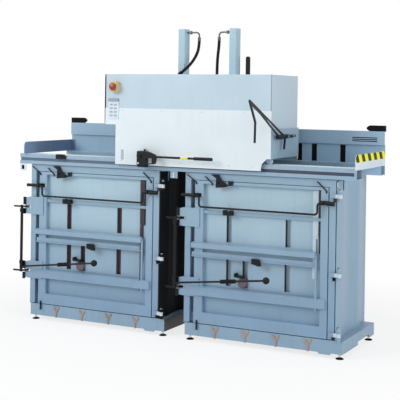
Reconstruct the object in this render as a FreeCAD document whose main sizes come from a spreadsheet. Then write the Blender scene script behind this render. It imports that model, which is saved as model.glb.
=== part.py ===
import FreeCAD, Part
import math
import os

import Sketcher
from FreeCAD import Placement, Rotation, Vector

# Twin-chamber recycling baler with one press head that slides on rails.
#
# X runs along the rails, Y from the doors towards the back wall, Z up.
# The origin lies on the floor, in the middle of the eight levelling feet.
# Module parts (bases, chambers, doors, locks) are drawn about their own
# module's foot centre, and head parts about the middle of the press plate;
# their Placement carries them to their place on the machine.

SIZES = {
    # modules and bases
    "module_pitch": 1365,
    "base_width": 1200,
    "base_depth": 700,
    "base_height": 88,
    "floor_gap": 37,
    "base_plate": 5,
    "foot_inset": 31,
    "foot_plate": 80,
    "foot_plate_thickness": 6,
    "stem_radius": 7,
    "stem_length": 62,
    "pad_radius": 27.5,
    "pad_rim": 4,
    "pad_cone": 8,
    "skirt_tab_width": 100,
    "skirt_tab_drop": 12,
    # chamber walls
    "wall": 5,
    "wall_left": 612,
    "wall_right": 548,
    "wall_front_gap": 5,
    "chamber_depth": 700,
    "chamber_height": 1091,
    "rear_wall_inset": 200,
    "rear_return": 40,
    "notch_start": 330,
    "notch_length": 250,
    "notch_height": 23,
    # ribbed hinge column
    "rib_first": 135,
    "rib_pitch": 355,
    "rib_width": 315,
    "rib_depth": 22,
    "rib_fall": 155,
    "rib_floor": 40,
    "tongue_depth": 112,
    "tongue_gap": 12,
    "slot_leg": 30,
    "slot_drop": 83,
    "slit_length": 50,
    "slit_height": 6,
    # door hinges
    "hinge_offset": 27,
    "hinge_stand_off": 12,
    "knuckle_radius": 13,
    "hinge_height": 72,
    "door_knuckle": 26,
    "knuckle_gap": 1,
    "hinge_bottom": 130,
    "hinge_middle": 533,
    "hinge_top_drop": 150,
    "pin_radius": 6,
    "pin_clearance": 0.05,
    "pin_head": 4,
    # rails
    "rail_height": 80,
    "front_rail_depth": 120,
    "front_rail_overhang": 20,
    "rail_wall": 5,
    "rail_left_overhang": 107,
    "rail_right_overhang": 85.5,
    "groove_height": 23,
    "groove_depth": 12,
    "groove_drop": 31,
    "groove_end": 15,
    "rear_rail_depth": 80,
    "rear_rail_back": 265,
    "end_bracket_width": 58,
    "end_bracket_drop": 56,
    "joint_plate_width": 58,
    "joint_plate_drop": 51,
    "joint_plate_shift": 17,
    "bracket_sheet": 5,
    # back wall and side panels
    "panel_sheet": 4,
    "back_height": 313,
    "fold_height": 214,
    "fold_step": 14,
    "back_lip": 40,
    "back_slot_width": 42,
    "back_slot_height": 150,
    "louvre_width": 190,
    "louvre_gap": 7,
    "side_panel_height": 92,
    "side_panel_front": 400,
    "side_panel_drop": 12,
    "side_flange": 30,
    "bumper_length": 137,
    "bumper_height": 42,
    "bumper_width": 34,
    # doors
    "door_left": 604,
    "door_right": 537,
    "door_sill_gap": 7,
    "door_head_gap": 4,
    "door_post": 40,
    "door_header": 50,
    "door_flange": 46,
    "door_frame_depth": 35,
    "panel_left": 528,
    "panel_right": 485,
    "panel_drop": 54,
    "door_stand_proud": 5,
    "door_depth": 60,
    "door_sheet": 4,
    "stile_left": 66,
    "stile_right": 52,
    "door_top_rail": 20,
    "door_bottom_rail": 79,
    "bar_reach_left": 545,
    "wide_bar_right": 400,
    "wide_bar_height": 48,
    "wide_bar_base": 668,
    "wide_bar_depth": 23,
    "angle_bar_base": 612,
    "angle_bar_height": 33,
    "low_bar_right": 471,
    "low_bar_base": 327,
    "low_bar_height": 73,
    "low_bar_depth": 17,
    "thin_bar_base": 925,
    "thin_bar_height": 20,
    "tie_x": 411,
    "tie_width": 12,
    "tie_base": 314,
    "tie_top": 702,
    "skin_recess": 30,
    "strap_slot_width": 42,
    "upper_slot_base": 724,
    "upper_slot_top": 915,
    "lower_slot_base": 414,
    "lower_slot_top": 608,
    "channel_depth": 38,
    # door lock
    "lock_offset": 672,
    "lock_stand_off": 35,
    "lock_shaft_radius": 11,
    "lock_lean": 15,
    "lock_shaft_base": 370,
    "lock_shaft_length": 522,
    "upper_claw": 875,
    "lower_claw": 374,
    "claw_thickness": 12,
    "claw_gap": 3,
    "claw_slot": 24,
    "bracket_plate": 8,
    "bearing_height": 26,
    "bearing_radius": 16,
    "edge_strip": 24,
    "keeper_pin_radius": 6,
    "keeper_reach": 42.5,
    "keeper_side": 8,
    "keeper_lug": 6,
    "lever_base": 398,
    "lever_hub_radius": 13,
    "lever_seat": 1.3,
    "lever_hub_height": 28,
    "lever_radius": 7,
    "lever_length": 815,
    "lever_grip_start": 435,
    "lever_grip_length": 130,
    "lever_grip_radius": 13,
    "knob_radius": 24,
    # door bow
    "bow_stand_off": 40,
    "bow_height": 1053,
    "bow_drop": 80,
    "bow_radius": 7,
    "bow_bend": 22,
    "bow_left": 479,
    "bow_right": 420,
    "bow_grip_length": 86,
    "bow_grip_radius": 12,
    "bow_tail": 123,
    "bow_cap_radius": 15,
    "bow_cap_length": 60,
    "bow_bearing": 20,
    # press head, with heights from the top of the rails
    "head_rest": 111,
    "head_left": 699.5,
    "head_right": 647.5,
    "head_front": 400,
    "head_depth": 500,
    "head_base": 249,
    "head_height": 376,
    "head_sheet": 4,
    "head_fold": 123,
    "head_round": 10,
    "apron_left": 608,
    "apron_bottom": -46,
    "apron_lip": 15,
    "cheek_bottom": 39,
    "cheek_back": 133,
    "crosshead_base": 344,
    "crosshead_height": 20,
    "crosshead_depth": 130,
    "beam_base": 89,
    "beam_height": 60,
    "front_beam_depth": 30,
    "rear_beam_depth": 12,
    "roller_radius": 20,
    "roller_width": 20,
    "roller_play": 0.3,
    "axle_radius": 5,
    "roller_bracket": 6,
    "roller_bracket_width": 44,
    "front_roller_x": 621,
    "rear_roller_x": 585,
    "front_left_x": 578,
    "rear_left_x": 560,
    "front_roller_y": 348,
    "rear_roller_y": 217,
    "roller_side_gap": 2,
    "axle_end": 4,
    # cylinders, rods and press plate
    "cylinder_spacing": 424,
    "cylinder_y": 75,
    "cylinder_width": 58,
    "cylinder_depth": 80,
    "cylinder_base": 304,
    "cylinder_top": 972,
    "cylinder_round": 7,
    "cylinder_bore": 20,
    "gland_length": 30,
    "cylinder_cap": 8,
    "rod_radius": 15,
    "rod_length": 640,
    "piston_length": 36,
    "sliding_clearance": 0.05,
    "plate_half_width": 550,
    "plate_depth": 370,
    "plate_base": 199,
    "plate_thickness": 12,
    "plate_rib_height": 33,
    "plate_rib": 10,
    "plate_groove_width": 30,
    "plate_groove_depth": 6,
    # hydraulics
    "fitting_height": 947,
    "fitting_run": 100,
    "fitting_drop": 63,
    "fitting_bend": 24,
    "pipe_radius": 6,
    "ferrule_radius": 12,
    "ferrule_length": 26,
    "nut_radius": 13,
    "nut_length": 16,
    "hose_radius": 11,
    "gland_radius": 38,
    "left_gland_radius": 24,
    "tank_width": 270,
    "tank_depth": 240,
    "tank_height": 200,
    "motor_radius": 72,
    "motor_length": 220,
    "breather_x": 320,
    "breather_radius": 17,
    "breather_height": 140,
    # controls
    "control_left": 670.5,
    "control_width": 88,
    "control_base": 294,
    "control_height": 148,
    "control_depth": 6,
    "stop_x": 611,
    "stop_z": 530,
    "stop_width": 56,
    "stop_height": 80,
    "stop_depth": 38,
    "stop_stem_radius": 11,
    "stop_cap_radius": 23,
    "stop_travel": 6,
    # push lever on the apron
    "push_x": 358,
    "push_z": 26,
    "push_block_width": 68,
    "push_block_height": 118,
    "push_block_depth": 52,
    "push_pin_radius": 8,
    "push_hub_radius": 22,
    "push_hub_length": 24,
    "push_loop_length": 142,
    "push_loop_thickness": 16,
    "push_bolt_height": 16,
    "push_rod_radius": 8,
    "push_rod_length": 302,
    "push_grip_radius": 12,
    "push_grip_length": 145,
    # side lever on the right cheek
    "side_pivot_y": 205,
    "side_pivot_z": 191,
    "side_block_depth": 20,
    "side_pin_radius": 7,
    "side_hub": 20,
    "side_rod": 10,
    "side_handle": 16,
    "side_tail": 88,
    # small hardware
    "hook_width": 60,
    "hook_height": 88,
    "hook_thickness": 6,
    "hook_pitch": 236,
    "first_hook": 357,
    "stop_block_width": 84,
    "stop_block_depth": 18,
    "stop_block_height": 35,
    "stop_block_x": 999,
    "rest_disc_radius": 36,
    "rest_disc_thickness": 25,
    "catch_thickness": 8,
    "catch_width": 9,
    "drop_pin_radius": 6,
    "drop_pin_length": 68,
}

SIDES = ("left", "right")
FULL_TURN = 360
# angles in degrees: the lock lever's rise, and the latitude of its knob's flat seat
LEVER_RISE = 8.3
KNOB_SEAT = 67
# finger window in the push lever's loop: left, right, low and high from its pivot, in mm
PUSH_WINDOW = (50, 102, -50, -13)
# hose routes from ferrule to gland: X and Y from the ferrule in mm, and the
# share of the height between the housing's top and the ferrule
LEFT_HOSE = ((0, 0, 1), (-2, -1, 0.82), (-12, -9, 0.63), (-34, -27, 0.43), (-63, -52, 0.245),
             (-103, -78, 0.085))
RIGHT_HOSE = ((0, 0, 1), (-2, 0, 0.82), (-9, 0, 0.6), (-13.5, 0, 0.385), (-15, 0, 0.03))


class Length:
    """A length that knows its value now and the sheet formula that keeps it."""

    def __init__(self, value, formula):
        self.value = float(value)
        self.formula = formula

    def __add__(self, other):
        other = as_length(other)
        return Length(self.value + other.value, f"({self.formula} + {other.formula})")

    def __sub__(self, other):
        other = as_length(other)
        return Length(self.value - other.value, f"({self.formula} - {other.formula})")

    def __rsub__(self, other):
        return as_length(other) - self

    def __mul__(self, factor):
        return Length(self.value * factor, f"({self.formula} * {factor})")

    def __truediv__(self, divisor):
        return Length(self.value / divisor, f"({self.formula} / {divisor})")

    def __neg__(self):
        return Length(-self.value, f"(0 - {self.formula})")

    __radd__ = __add__
    __rmul__ = __mul__


class Names:
    """The driving dimensions by name, such as size.wall."""

    def __init__(self, table):
        for alias, value in table.items():
            setattr(self, alias, Length(value, f"Sizes.{alias}"))


def as_length(number):
    """A Length from a Length or from a plain number."""
    if isinstance(number, Length):
        return number
    return Length(number, str(number))


def fill_sheet(document, table):
    """Put every driving dimension into the spreadsheet under its alias."""
    sheet = document.addObject("Spreadsheet::Sheet", "Sizes")
    for row, (alias, value) in enumerate(table.items(), start=1):
        sheet.set(f"A{row}", alias.replace("_", " "))
        sheet.set(f"B{row}", str(value))
        sheet.setAlias(f"B{row}", alias)
    document.recompute()


doc = FreeCAD.newDocument("recycling_baler")
fill_sheet(doc, SIZES)
size = Names(SIZES)
subparts = []

# --- places worked out once from the driving dimensions -------------------

base_front = -size.base_depth / 2
base_top = size.floor_gap + size.base_height
chamber_back = base_front + size.chamber_depth
chamber_top = base_top + size.chamber_height
rail_top = chamber_top + size.rail_height
# heights of the press head and its parts, from the top of the rails
apron_bottom = rail_top + size.apron_bottom
cheek_bottom = rail_top + size.cheek_bottom
crosshead_base = rail_top + size.crosshead_base
beam_base = rail_top + size.beam_base
head_base = rail_top + size.head_base
plate_base = rail_top + size.plate_base
cylinder_base = rail_top + size.cylinder_base
cylinder_top = rail_top + size.cylinder_top
fitting_height = rail_top + size.fitting_height
control_base = rail_top + size.control_base
stop_z = rail_top + size.stop_z
push_z = rail_top + size.push_z
side_pivot_z = rail_top + size.side_pivot_z
rail_left = -size.module_pitch / 2 - size.base_width / 2 - size.rail_left_overhang
rail_right = size.module_pitch / 2 + size.base_width / 2 + size.rail_right_overhang
front_rail_face = base_front - size.front_rail_overhang
front_rail_back = front_rail_face + size.front_rail_depth
rear_rail_face = size.rear_rail_back - size.rear_rail_depth
side_panel_left = rail_left + size.end_bracket_width
hinge_x = size.wall_right + size.hinge_offset
hinge_y = base_front - size.hinge_stand_off
hinge_top = chamber_top - size.hinge_top_drop
hinge_bases = (size.hinge_bottom, size.hinge_middle, hinge_top)
door_face = base_front - size.door_stand_proud
door_back = door_face + size.door_depth
door_base = base_top + size.door_sill_gap
door_top = chamber_top - size.door_head_gap
panel_left = -size.panel_left
panel_right = size.panel_right
panel_top = door_top - size.panel_drop
window_left = panel_left + size.stile_left
window_right = panel_right - size.stile_right
window_base = door_base + size.door_bottom_rail
window_top = panel_top - size.door_top_rail
skin_face = door_face + size.skin_recess
lock_x = -size.lock_offset
lock_y = base_front - size.lock_stand_off
claw_bases = (size.lower_claw, size.upper_claw)
bow_y = base_front - size.bow_stand_off
head_front = -size.head_front
head_back = head_front + size.head_depth
head_top = head_base + size.head_height
fold_z = head_base + size.head_fold
panel_back = head_front + size.head_sheet
cheek_left = -size.apron_left
cheek_right = size.head_right - size.head_sheet
crosshead_top = crosshead_base + size.crosshead_height
cylinder_y = -size.cylinder_y
plate_top = plate_base + size.plate_thickness + size.plate_rib_height
hose_top = fitting_height - size.fitting_drop
roller_z = rail_top + size.roller_radius + size.roller_play


# --- drawing ---------------------------------------------------------------

def rectangle(x_low, x_high, y_low, y_high):
    """The four corners of an upright rectangle."""
    return [(x_low, y_low), (x_high, y_low), (x_high, y_high), (x_low, y_high)]


class Ring:
    """A circle in a sketch, by its centre and radius."""

    def __init__(self, x, y, radius):
        self.x = as_length(x)
        self.y = as_length(y)
        self.radius = as_length(radius)


def pin(sketch, geometry, point, x, y):
    """Hold one point of a sketch at sheet-driven coordinates."""
    for kind, place in (("DistanceX", as_length(x)), ("DistanceY", as_length(y))):
        index = sketch.addConstraint(Sketcher.Constraint(kind, geometry, point, place.value))
        if "Sizes" in place.formula:
            sketch.setExpression(f"Constraints[{index}]", place.formula)


def draw_ring(sketch, ring):
    """Draw a circle whose centre and radius follow the sheet."""
    centre = Vector(ring.x.value, ring.y.value, 0)
    index = sketch.addGeometry(Part.Circle(centre, Vector(0, 0, 1), ring.radius.value), False)
    pin(sketch, index, 3, ring.x, ring.y)
    rule = sketch.addConstraint(Sketcher.Constraint("Radius", index, ring.radius.value))
    sketch.setExpression(f"Constraints[{rule}]", ring.radius.formula)


def draw_outline(sketch, corners):
    """Draw a closed outline of straight edges through sheet-driven corners."""
    points = [Vector(as_length(x).value, as_length(y).value, 0) for x, y in corners]
    count = len(points)
    first = sketch.GeometryCount
    for index in range(count):
        edge = Part.LineSegment(points[index], points[(index + 1) % count])
        sketch.addGeometry(edge, False)
    for index in range(count):
        following = first + (index + 1) % count
        sketch.addConstraint(Sketcher.Constraint("Coincident", first + index, 2, following, 1))
    for index, (x, y) in enumerate(corners):
        pin(sketch, first + index, 1, x, y)


def draw(body, role, offset, loops):
    """A sketch on one of the body's origin planes, holding closed loops."""
    sketch = body.newObject("Sketcher::SketchObject", f"{body.Name}_profile")
    plane = next(item for item in body.Origin.OriginFeatures if item.Role == role)
    sketch.AttachmentSupport = [(plane, "")]
    sketch.MapMode = "FlatFace"
    sketch.setExpression("AttachmentOffset.Base.z", as_length(offset).formula)
    for loop in loops:
        if isinstance(loop, Ring):
            draw_ring(sketch, loop)
        else:
            draw_outline(sketch, loop)
    return sketch


def extrude(body, kind, sketch, amount, backwards):
    """A Pad or Pocket of a sketch, checked to have changed the solid."""
    before = 0 if body.Tip is None else body.Shape.Volume
    feature = body.newObject(f"PartDesign::{kind}", f"{body.Name}_{kind.lower()}")
    feature.Profile = sketch
    feature.Reversed = backwards
    feature.setExpression("Length", as_length(amount).formula)
    doc.recompute()
    after = body.Shape.Volume
    grown = after - before if kind == "Pad" else before - after
    if grown <= 0:
        raise ValueError(f"{feature.Label} changed nothing")
    return feature


def plan_pad(body, base, height, *loops):
    """Raise loops drawn in plan from base by height."""
    return extrude(body, "Pad", draw(body, "XY_Plane", base, loops), height, False)


def plan_cut(body, base, height, *loops):
    """Cut loops drawn in plan from base upwards by height."""
    return extrude(body, "Pocket", draw(body, "XY_Plane", base, loops), height, True)


def front_pad(body, face, depth, *loops):
    """Thicken loops drawn in front view from face towards the back."""
    return extrude(body, "Pad", draw(body, "XZ_Plane", -as_length(face), loops), depth, True)


def front_cut(body, face, depth, *loops):
    """Cut loops drawn in front view from face towards the back."""
    return extrude(body, "Pocket", draw(body, "XZ_Plane", -as_length(face), loops), depth, False)


def side_pad(body, start, length, *loops):
    """Run loops drawn in side view along X from start."""
    return extrude(body, "Pad", draw(body, "YZ_Plane", start, loops), length, False)


def side_cut(body, start, length, *loops):
    """Cut loops drawn in side view along X from start."""
    return extrude(body, "Pocket", draw(body, "YZ_Plane", start, loops), length, True)


def turn_profile(body, corners):
    """Revolve a half section, given as radius and height, about the body's Z axis."""
    sketch = draw(body, "XZ_Plane", 0, [corners])
    feature = body.newObject("PartDesign::Revolution", f"{body.Name}_turned")
    feature.Profile = sketch
    feature.ReferenceAxis = (sketch, ["V_Axis"])
    feature.Angle = FULL_TURN
    doc.recompute()
    return feature


def round_edges(body, radius, wanted):
    """Fillet the edges of the body's present shape that wanted() picks."""
    doc.recompute()
    edges = [f"Edge{index}" for index, edge in enumerate(body.Shape.Edges, start=1) if wanted(edge)]
    if not edges:
        raise ValueError(f"{body.Label}: no edge to round")
    solid = body.Tip
    fillet = body.newObject("PartDesign::Fillet", f"{body.Name}_round")
    fillet.Base = (solid, edges)
    fillet.setExpression("Radius", as_length(radius).formula)
    doc.recompute()
    return fillet


def runs_along(edge, direction):
    """True for a straight edge parallel to direction."""
    if not isinstance(edge.Curve, (Part.Line, Part.LineSegment)):
        return False
    return abs(abs(edge.tangentAt(edge.FirstParameter).dot(direction)) - 1) < 1e-6


def bent_bar(label, start, legs, radius, bend, sense=1):
    """A round bar in an XZ plane: cylinders for its legs, joined by torus bends.

    Each leg is its heading in degrees from +X towards +Z and its length between
    sharp corners; a sense of -1 turns the whole bar to run along -X.
    """
    x, y, z = start
    pieces = []
    for index, (heading, run) in enumerate(legs):
        angle = math.radians(heading)
        along_x = math.cos(angle) * sense
        along_z = math.sin(angle)
        turn = legs[index + 1][0] - heading if index + 1 < len(legs) else 0
        turned = heading - legs[index - 1][0] if index else 0
        near = bend * math.tan(math.radians(abs(turned)) / 2)
        far = bend * math.tan(math.radians(abs(turn)) / 2)
        along = Vector(along_x, 0, along_z)
        pieces.append(cylinder(f"{label}_leg_{index}", radius, run - near - far,
                               x + near * along_x, y, z + near * along_z,
                               Rotation(Vector(0, 0, 1), along)))
        x = x + run * along_x
        z = z + run * along_z
        if turn:
            side = 1 if turn > 0 else -1
            inward = Vector(-math.sin(angle) * side * sense, 0, math.cos(angle) * side)
            axis = Vector(0, -side * sense, 0)
            elbow = doc.addObject("Part::Torus", f"{label}_bend_{index}")
            elbow.setExpression("Radius1", bend.formula)
            elbow.setExpression("Radius2", radius.formula)
            elbow.Angle3 = abs(turn)
            place(elbow, x - far * along_x + bend * inward.x, y, z - far * along_z + bend * inward.z,
                  Rotation(inward * -1, along, axis, "XYZ"))
            pieces.append(elbow)
    return pieces


# --- objects ---------------------------------------------------------------

def place(item, x=0, y=0, z=0, rotation=None):
    """Set an object's Placement from the sheet."""
    item.Placement = Placement(Vector(0, 0, 0), rotation or Rotation())
    for axis, distance in (("x", x), ("y", y), ("z", z)):
        item.setExpression(f"Placement.Base.{axis}", as_length(distance).formula)


def new_body(label, x=0, y=0, z=0, rotation=None):
    """A PartDesign body with its own label and place."""
    body = doc.addObject("PartDesign::Body", label)
    body.Label = label
    place(body, x, y, z, rotation)
    return body


def keep(item):
    """Count an object as one of the machine's sub-parts."""
    subparts.append(item)
    return item


def keep_group(label, items):
    """Several like pieces that share one node, as separate solids."""
    group = doc.addObject("Part::Compound", label)
    group.Label = label
    group.Links = items
    return keep(group)


def cylinder(label, radius, height, x=0, y=0, z=0, rotation=None):
    """A plain cylinder from the sheet."""
    item = doc.addObject("Part::Cylinder", label)
    item.setExpression("Radius", as_length(radius).formula)
    item.setExpression("Height", as_length(height).formula)
    place(item, x, y, z, rotation)
    return item


def fuse(label, items):
    """One solid from several overlapping ones."""
    item = doc.addObject("Part::MultiFuse", label)
    item.Shapes = items
    return item


def module_centre(side):
    """The X of a module's foot centre."""
    half = size.module_pitch / 2
    return -half if side == "left" else half


ALONG_Y = Rotation(Vector(1, 0, 0), -90)
AGAINST_Y = Rotation(Vector(1, 0, 0), 90)
ALONG_X = Rotation(Vector(0, 1, 0), 90)


# --- bases and feet --------------------------------------------------------

def build_base(side):
    """A hollow welded base tray with foot plates, side notches and a stiffening tab."""
    body = new_body(f"{side}_base", x=module_centre(side))
    half_width = size.base_width / 2
    half_depth = size.base_depth / 2
    inset = size.base_plate
    plan_pad(body, size.floor_gap, size.base_height,
             rectangle(-half_width, half_width, -half_depth, half_depth))
    plan_cut(body, size.floor_gap, size.base_height - inset,
             rectangle(-half_width + inset, half_width - inset, -half_depth + inset, half_depth - inset))
    notch_front = -half_depth + size.notch_start
    notch_back = notch_front + size.notch_length
    slope = size.notch_height
    side_cut(body, -half_width, half_width * 2,
             [(notch_front, size.floor_gap), (notch_back + slope, size.floor_gap),
              (notch_back, size.floor_gap + size.notch_height),
              (notch_front, size.floor_gap + size.notch_height)])
    plates = []
    for across in (-1, 1):
        for along in (-1, 1):
            outer_x = (half_width - inset) * across
            outer_y = (half_depth - inset) * along
            inner_x = outer_x - size.foot_plate * across
            inner_y = outer_y - size.foot_plate * along
            hole = Ring((half_width - size.foot_inset) * across,
                        (half_depth - size.foot_inset) * along,
                        size.stem_radius + size.pin_clearance)
            plates += [[(outer_x, outer_y), (inner_x, outer_y), (inner_x, inner_y), (outer_x, inner_y)], hole]
    plan_pad(body, size.floor_gap, size.foot_plate_thickness, *plates)
    tab_right = half_width - size.foot_plate
    front_pad(body, -half_depth, inset,
              [(tab_right - size.skirt_tab_width, size.floor_gap), (tab_right, size.floor_gap),
               (tab_right - size.skirt_tab_drop, size.floor_gap - size.skirt_tab_drop),
               (tab_right - size.skirt_tab_width + size.skirt_tab_drop,
                size.floor_gap - size.skirt_tab_drop)])
    keep(body)


def build_feet():
    """Eight levelling feet: threaded stems on flat round pads."""
    stems = []
    pads = []
    for side in SIDES:
        for across in (-1, 1):
            for along in (-1, 1):
                tag = f"{side}_{'front' if along < 0 else 'back'}_{'l' if across < 0 else 'r'}"
                x = module_centre(side) + (size.base_width / 2 - size.foot_inset) * across
                y = (size.base_depth / 2 - size.foot_inset) * along
                stems.append(cylinder(f"stem_{tag}", size.stem_radius, size.stem_length,
                                      x, y, size.pad_rim + size.pad_cone))
                rim = cylinder(f"rim_{tag}", size.pad_radius, size.pad_rim, x, y)
                cone = doc.addObject("Part::Cone", f"cone_{tag}")
                cone.setExpression("Radius1", size.pad_radius.formula)
                cone.setExpression("Radius2", (size.stem_radius * 1.6).formula)
                cone.setExpression("Height", size.pad_cone.formula)
                place(cone, x, y, size.pad_rim)
                pads.append(fuse(f"pad_{tag}", [rim, cone]))
    keep_group("foot_stems", stems)
    keep_group("foot_pads", pads)


def build_strap_hooks():
    """Forked strap hooks along the front skirt of both bases."""
    hooks = []
    half = size.hook_width / 2
    shank = size.hook_thickness * 0.85
    for side in SIDES:
        for number in range(4):
            body = new_body(f"hook_{side}_{number}", y=base_front - size.hook_thickness,
                            x=module_centre(side) - size.first_hook + size.hook_pitch * number,
                            z=size.floor_gap - 4)
            waist = size.hook_height * 0.48
            tip = size.hook_height
            front_pad(body, 0, size.hook_thickness,
                      [(-shank, 0), (shank, 0), (shank, waist), (half, tip - 10), (half - 7, tip),
                       (0, waist + 16), (7 - half, tip), (-half, tip - 10), (-shank, waist)])
            round_edges(body, size.hook_thickness * 0.3, lambda edge: runs_along(edge, Vector(0, 1, 0)))
            hooks.append(body)
    keep_group("strap_hooks", hooks)


# --- chambers --------------------------------------------------------------

def build_chamber(side):
    """Left wall with its rear return, and the rear wall of the chamber."""
    body = new_body(f"{side}_chamber", x=module_centre(side))
    t = size.wall
    left = -size.wall_left
    right = size.wall_right - t * 1.5
    front = base_front + size.wall_front_gap
    rear = chamber_back - size.rear_wall_inset
    plan_pad(body, base_top, size.chamber_height, [
        (left, front), (left + t, front), (left + t, rear), (right, rear), (right, rear + t),
        (left + t, rear + t), (left + t, chamber_back - t), (left + size.rear_return, chamber_back - t),
        (left + size.rear_return, chamber_back), (left, chamber_back),
    ])
    keep(body)


def column_outline():
    """Plan of the ribbed side sheet: two pressed ribs and a rear return."""
    t = size.wall
    right = size.wall_right
    front = base_front + size.wall_front_gap
    low = right - size.rib_depth
    first = base_front + size.rib_first
    second = first + size.rib_pitch
    floor = first + size.rib_fall
    outside = [
        (right, front), (right, first), (low, floor), (low, floor + size.rib_floor),
        (right, first + size.rib_width), (right, second), (low, second + size.rib_fall),
        (low, chamber_back), (low - size.rear_return, chamber_back),
    ]
    inside = [
        (low - size.rear_return, chamber_back - t), (low - t, chamber_back - t),
        (low - t, second + size.rib_fall), (right - t, second), (right - t, first + size.rib_width),
        (low - t, floor + size.rib_floor), (low - t, floor), (right - t, first), (right - t, front),
    ]
    return outside + inside


def build_column(side):
    """The ribbed right wall, which carries the frame halves of the door's hinges."""
    body = new_body(f"{side}_hinge_column", x=module_centre(side))
    plan_pad(body, base_top, size.chamber_height, column_outline())
    front = base_front + size.wall_front_gap
    face = size.wall_right - size.wall
    through = size.wall * 3
    bracket_back = base_front + size.knuckle_radius * 2
    for base in hinge_bases:
        plan_pad(body, base, size.hinge_height,
                 [(face, front), (hinge_x, hinge_y), (hinge_x, hinge_y + size.knuckle_radius),
                  (size.wall_right, bracket_back), (face, bracket_back)])
        plan_pad(body, base, size.hinge_height, Ring(hinge_x, hinge_y, size.knuckle_radius))
        gap_base = base + (size.hinge_height - size.door_knuckle) / 2 - size.knuckle_gap
        reach = size.knuckle_radius * 2.5
        plan_cut(body, gap_base, size.door_knuckle + size.knuckle_gap * 2,
                 rectangle(size.wall_right, hinge_x + reach, hinge_y - reach, bracket_back))
        slit_top = base + size.hinge_height + size.slit_height * 1.5
        slit_front = front + size.slit_height * 2
        side_cut(body, face - size.wall, through,
                 rectangle(slit_front, slit_front + size.slit_length, slit_top - size.slit_height, slit_top))
    plan_cut(body, size.hinge_bottom, hinge_top + size.hinge_height - size.hinge_bottom,
             Ring(hinge_x, hinge_y, size.pin_radius + size.pin_clearance))
    tongue_back = base_front + size.tongue_depth
    leg_back = tongue_back + size.slot_leg
    tongue_top = chamber_top - size.tongue_gap
    leg_base = chamber_top - size.slot_drop
    side_cut(body, face - size.rib_depth, through + size.rib_depth,
             [(front, tongue_top), (tongue_back, tongue_top), (tongue_back, leg_base),
              (leg_back, leg_base), (leg_back, chamber_top), (front, chamber_top)])
    keep(body)


def build_hinge_pins():
    """Headed pins through the six door hinges."""
    pins = []
    for side in SIDES:
        for number, base in enumerate(hinge_bases):
            x = module_centre(side) + hinge_x
            shank = cylinder(f"shank_{side}_{number}", size.pin_radius, size.hinge_height, x, hinge_y, base)
            head = cylinder(f"head_{side}_{number}", size.pin_radius * 1.6, size.pin_head,
                            x, hinge_y, base + size.hinge_height)
            pins.append(fuse(f"hinge_pin_{side}_{number}", [shank, head]))
    keep_group("hinge_pins", pins)


def build_keepers():
    """Forked keepers on the left walls, each with the pin that a lock claw grips."""
    keepers = []
    pin_x = lock_x + size.keeper_side
    pin_y = lock_y + size.keeper_reach
    front = pin_y - size.keeper_pin_radius - 1
    back = pin_y + size.keeper_pin_radius * 2
    wall_face = -size.wall_left
    for side in SIDES:
        for number, base in enumerate(claw_bases):
            body = new_body(f"keeper_{side}_{number}", x=module_centre(side))
            low = base - size.claw_gap - size.keeper_lug
            lug_outline = rectangle(pin_x - size.keeper_pin_radius * 2, wall_face, front, back)
            height = size.claw_thickness + size.claw_gap * 2 + size.keeper_lug * 2
            plan_pad(body, low, height, lug_outline)
            plan_cut(body, base - size.claw_gap, size.claw_thickness + size.claw_gap * 2,
                     rectangle(pin_x - 40, wall_face - 4, front - 5, back + 5))
            plan_pad(body, low, height, Ring(pin_x, pin_y, size.keeper_pin_radius))
            keepers.append(body)
    keep_group("lock_keepers", keepers)


# --- rails and back wall ---------------------------------------------------

def build_front_rail():
    """Hollow front rail with the long groove, its end bracket and joint plate."""
    body = new_body("front_rail")
    t = size.rail_wall
    face, back = front_rail_face, front_rail_back
    groove_top = rail_top - size.groove_drop
    groove_base = groove_top - size.groove_height
    groove = face + size.groove_depth
    outer = [(face, chamber_top), (back, chamber_top), (back, rail_top), (face, rail_top),
             (face, groove_top), (groove, groove_top), (groove, groove_base), (face, groove_base)]
    inner = [(face + t, chamber_top + t), (back - t, chamber_top + t), (back - t, rail_top - t),
             (face + t, rail_top - t), (face + t, groove_top + t), (groove + t, groove_top + t),
             (groove + t, groove_base - t), (face + t, groove_base - t)]
    side_pad(body, rail_left, rail_right - rail_left, outer, inner)
    side_pad(body, rail_right - size.groove_end, size.groove_end,
             rectangle(face, groove + t, groove_base, groove_top))
    bracket_right = rail_left + size.end_bracket_width
    slot_left = rail_left + size.end_bracket_width * 0.3
    front_pad(body, face, size.bracket_sheet,
              rectangle(rail_left, bracket_right, chamber_top - size.end_bracket_drop, chamber_top),
              rectangle(slot_left, slot_left + size.end_bracket_width * 0.4,
                        chamber_top - size.end_bracket_drop * 0.8, chamber_top - size.end_bracket_drop * 0.2))
    plate_centre = -size.joint_plate_shift
    half = size.joint_plate_width / 2
    front_pad(body, face + size.bracket_sheet, size.bracket_sheet,
              rectangle(plate_centre - half, plate_centre + half,
                        chamber_top - size.joint_plate_drop, chamber_top))
    keep(body)


def build_rear_rail():
    """Plain hollow rear rail under the back wall."""
    body = new_body("rear_rail")
    t = size.rail_wall
    side_pad(body, side_panel_left, rail_right - side_panel_left,
             rectangle(rear_rail_face, size.rear_rail_back, chamber_top, rail_top),
             rectangle(rear_rail_face + t, size.rear_rail_back - t, chamber_top + t, rail_top - t))
    keep(body)


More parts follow.
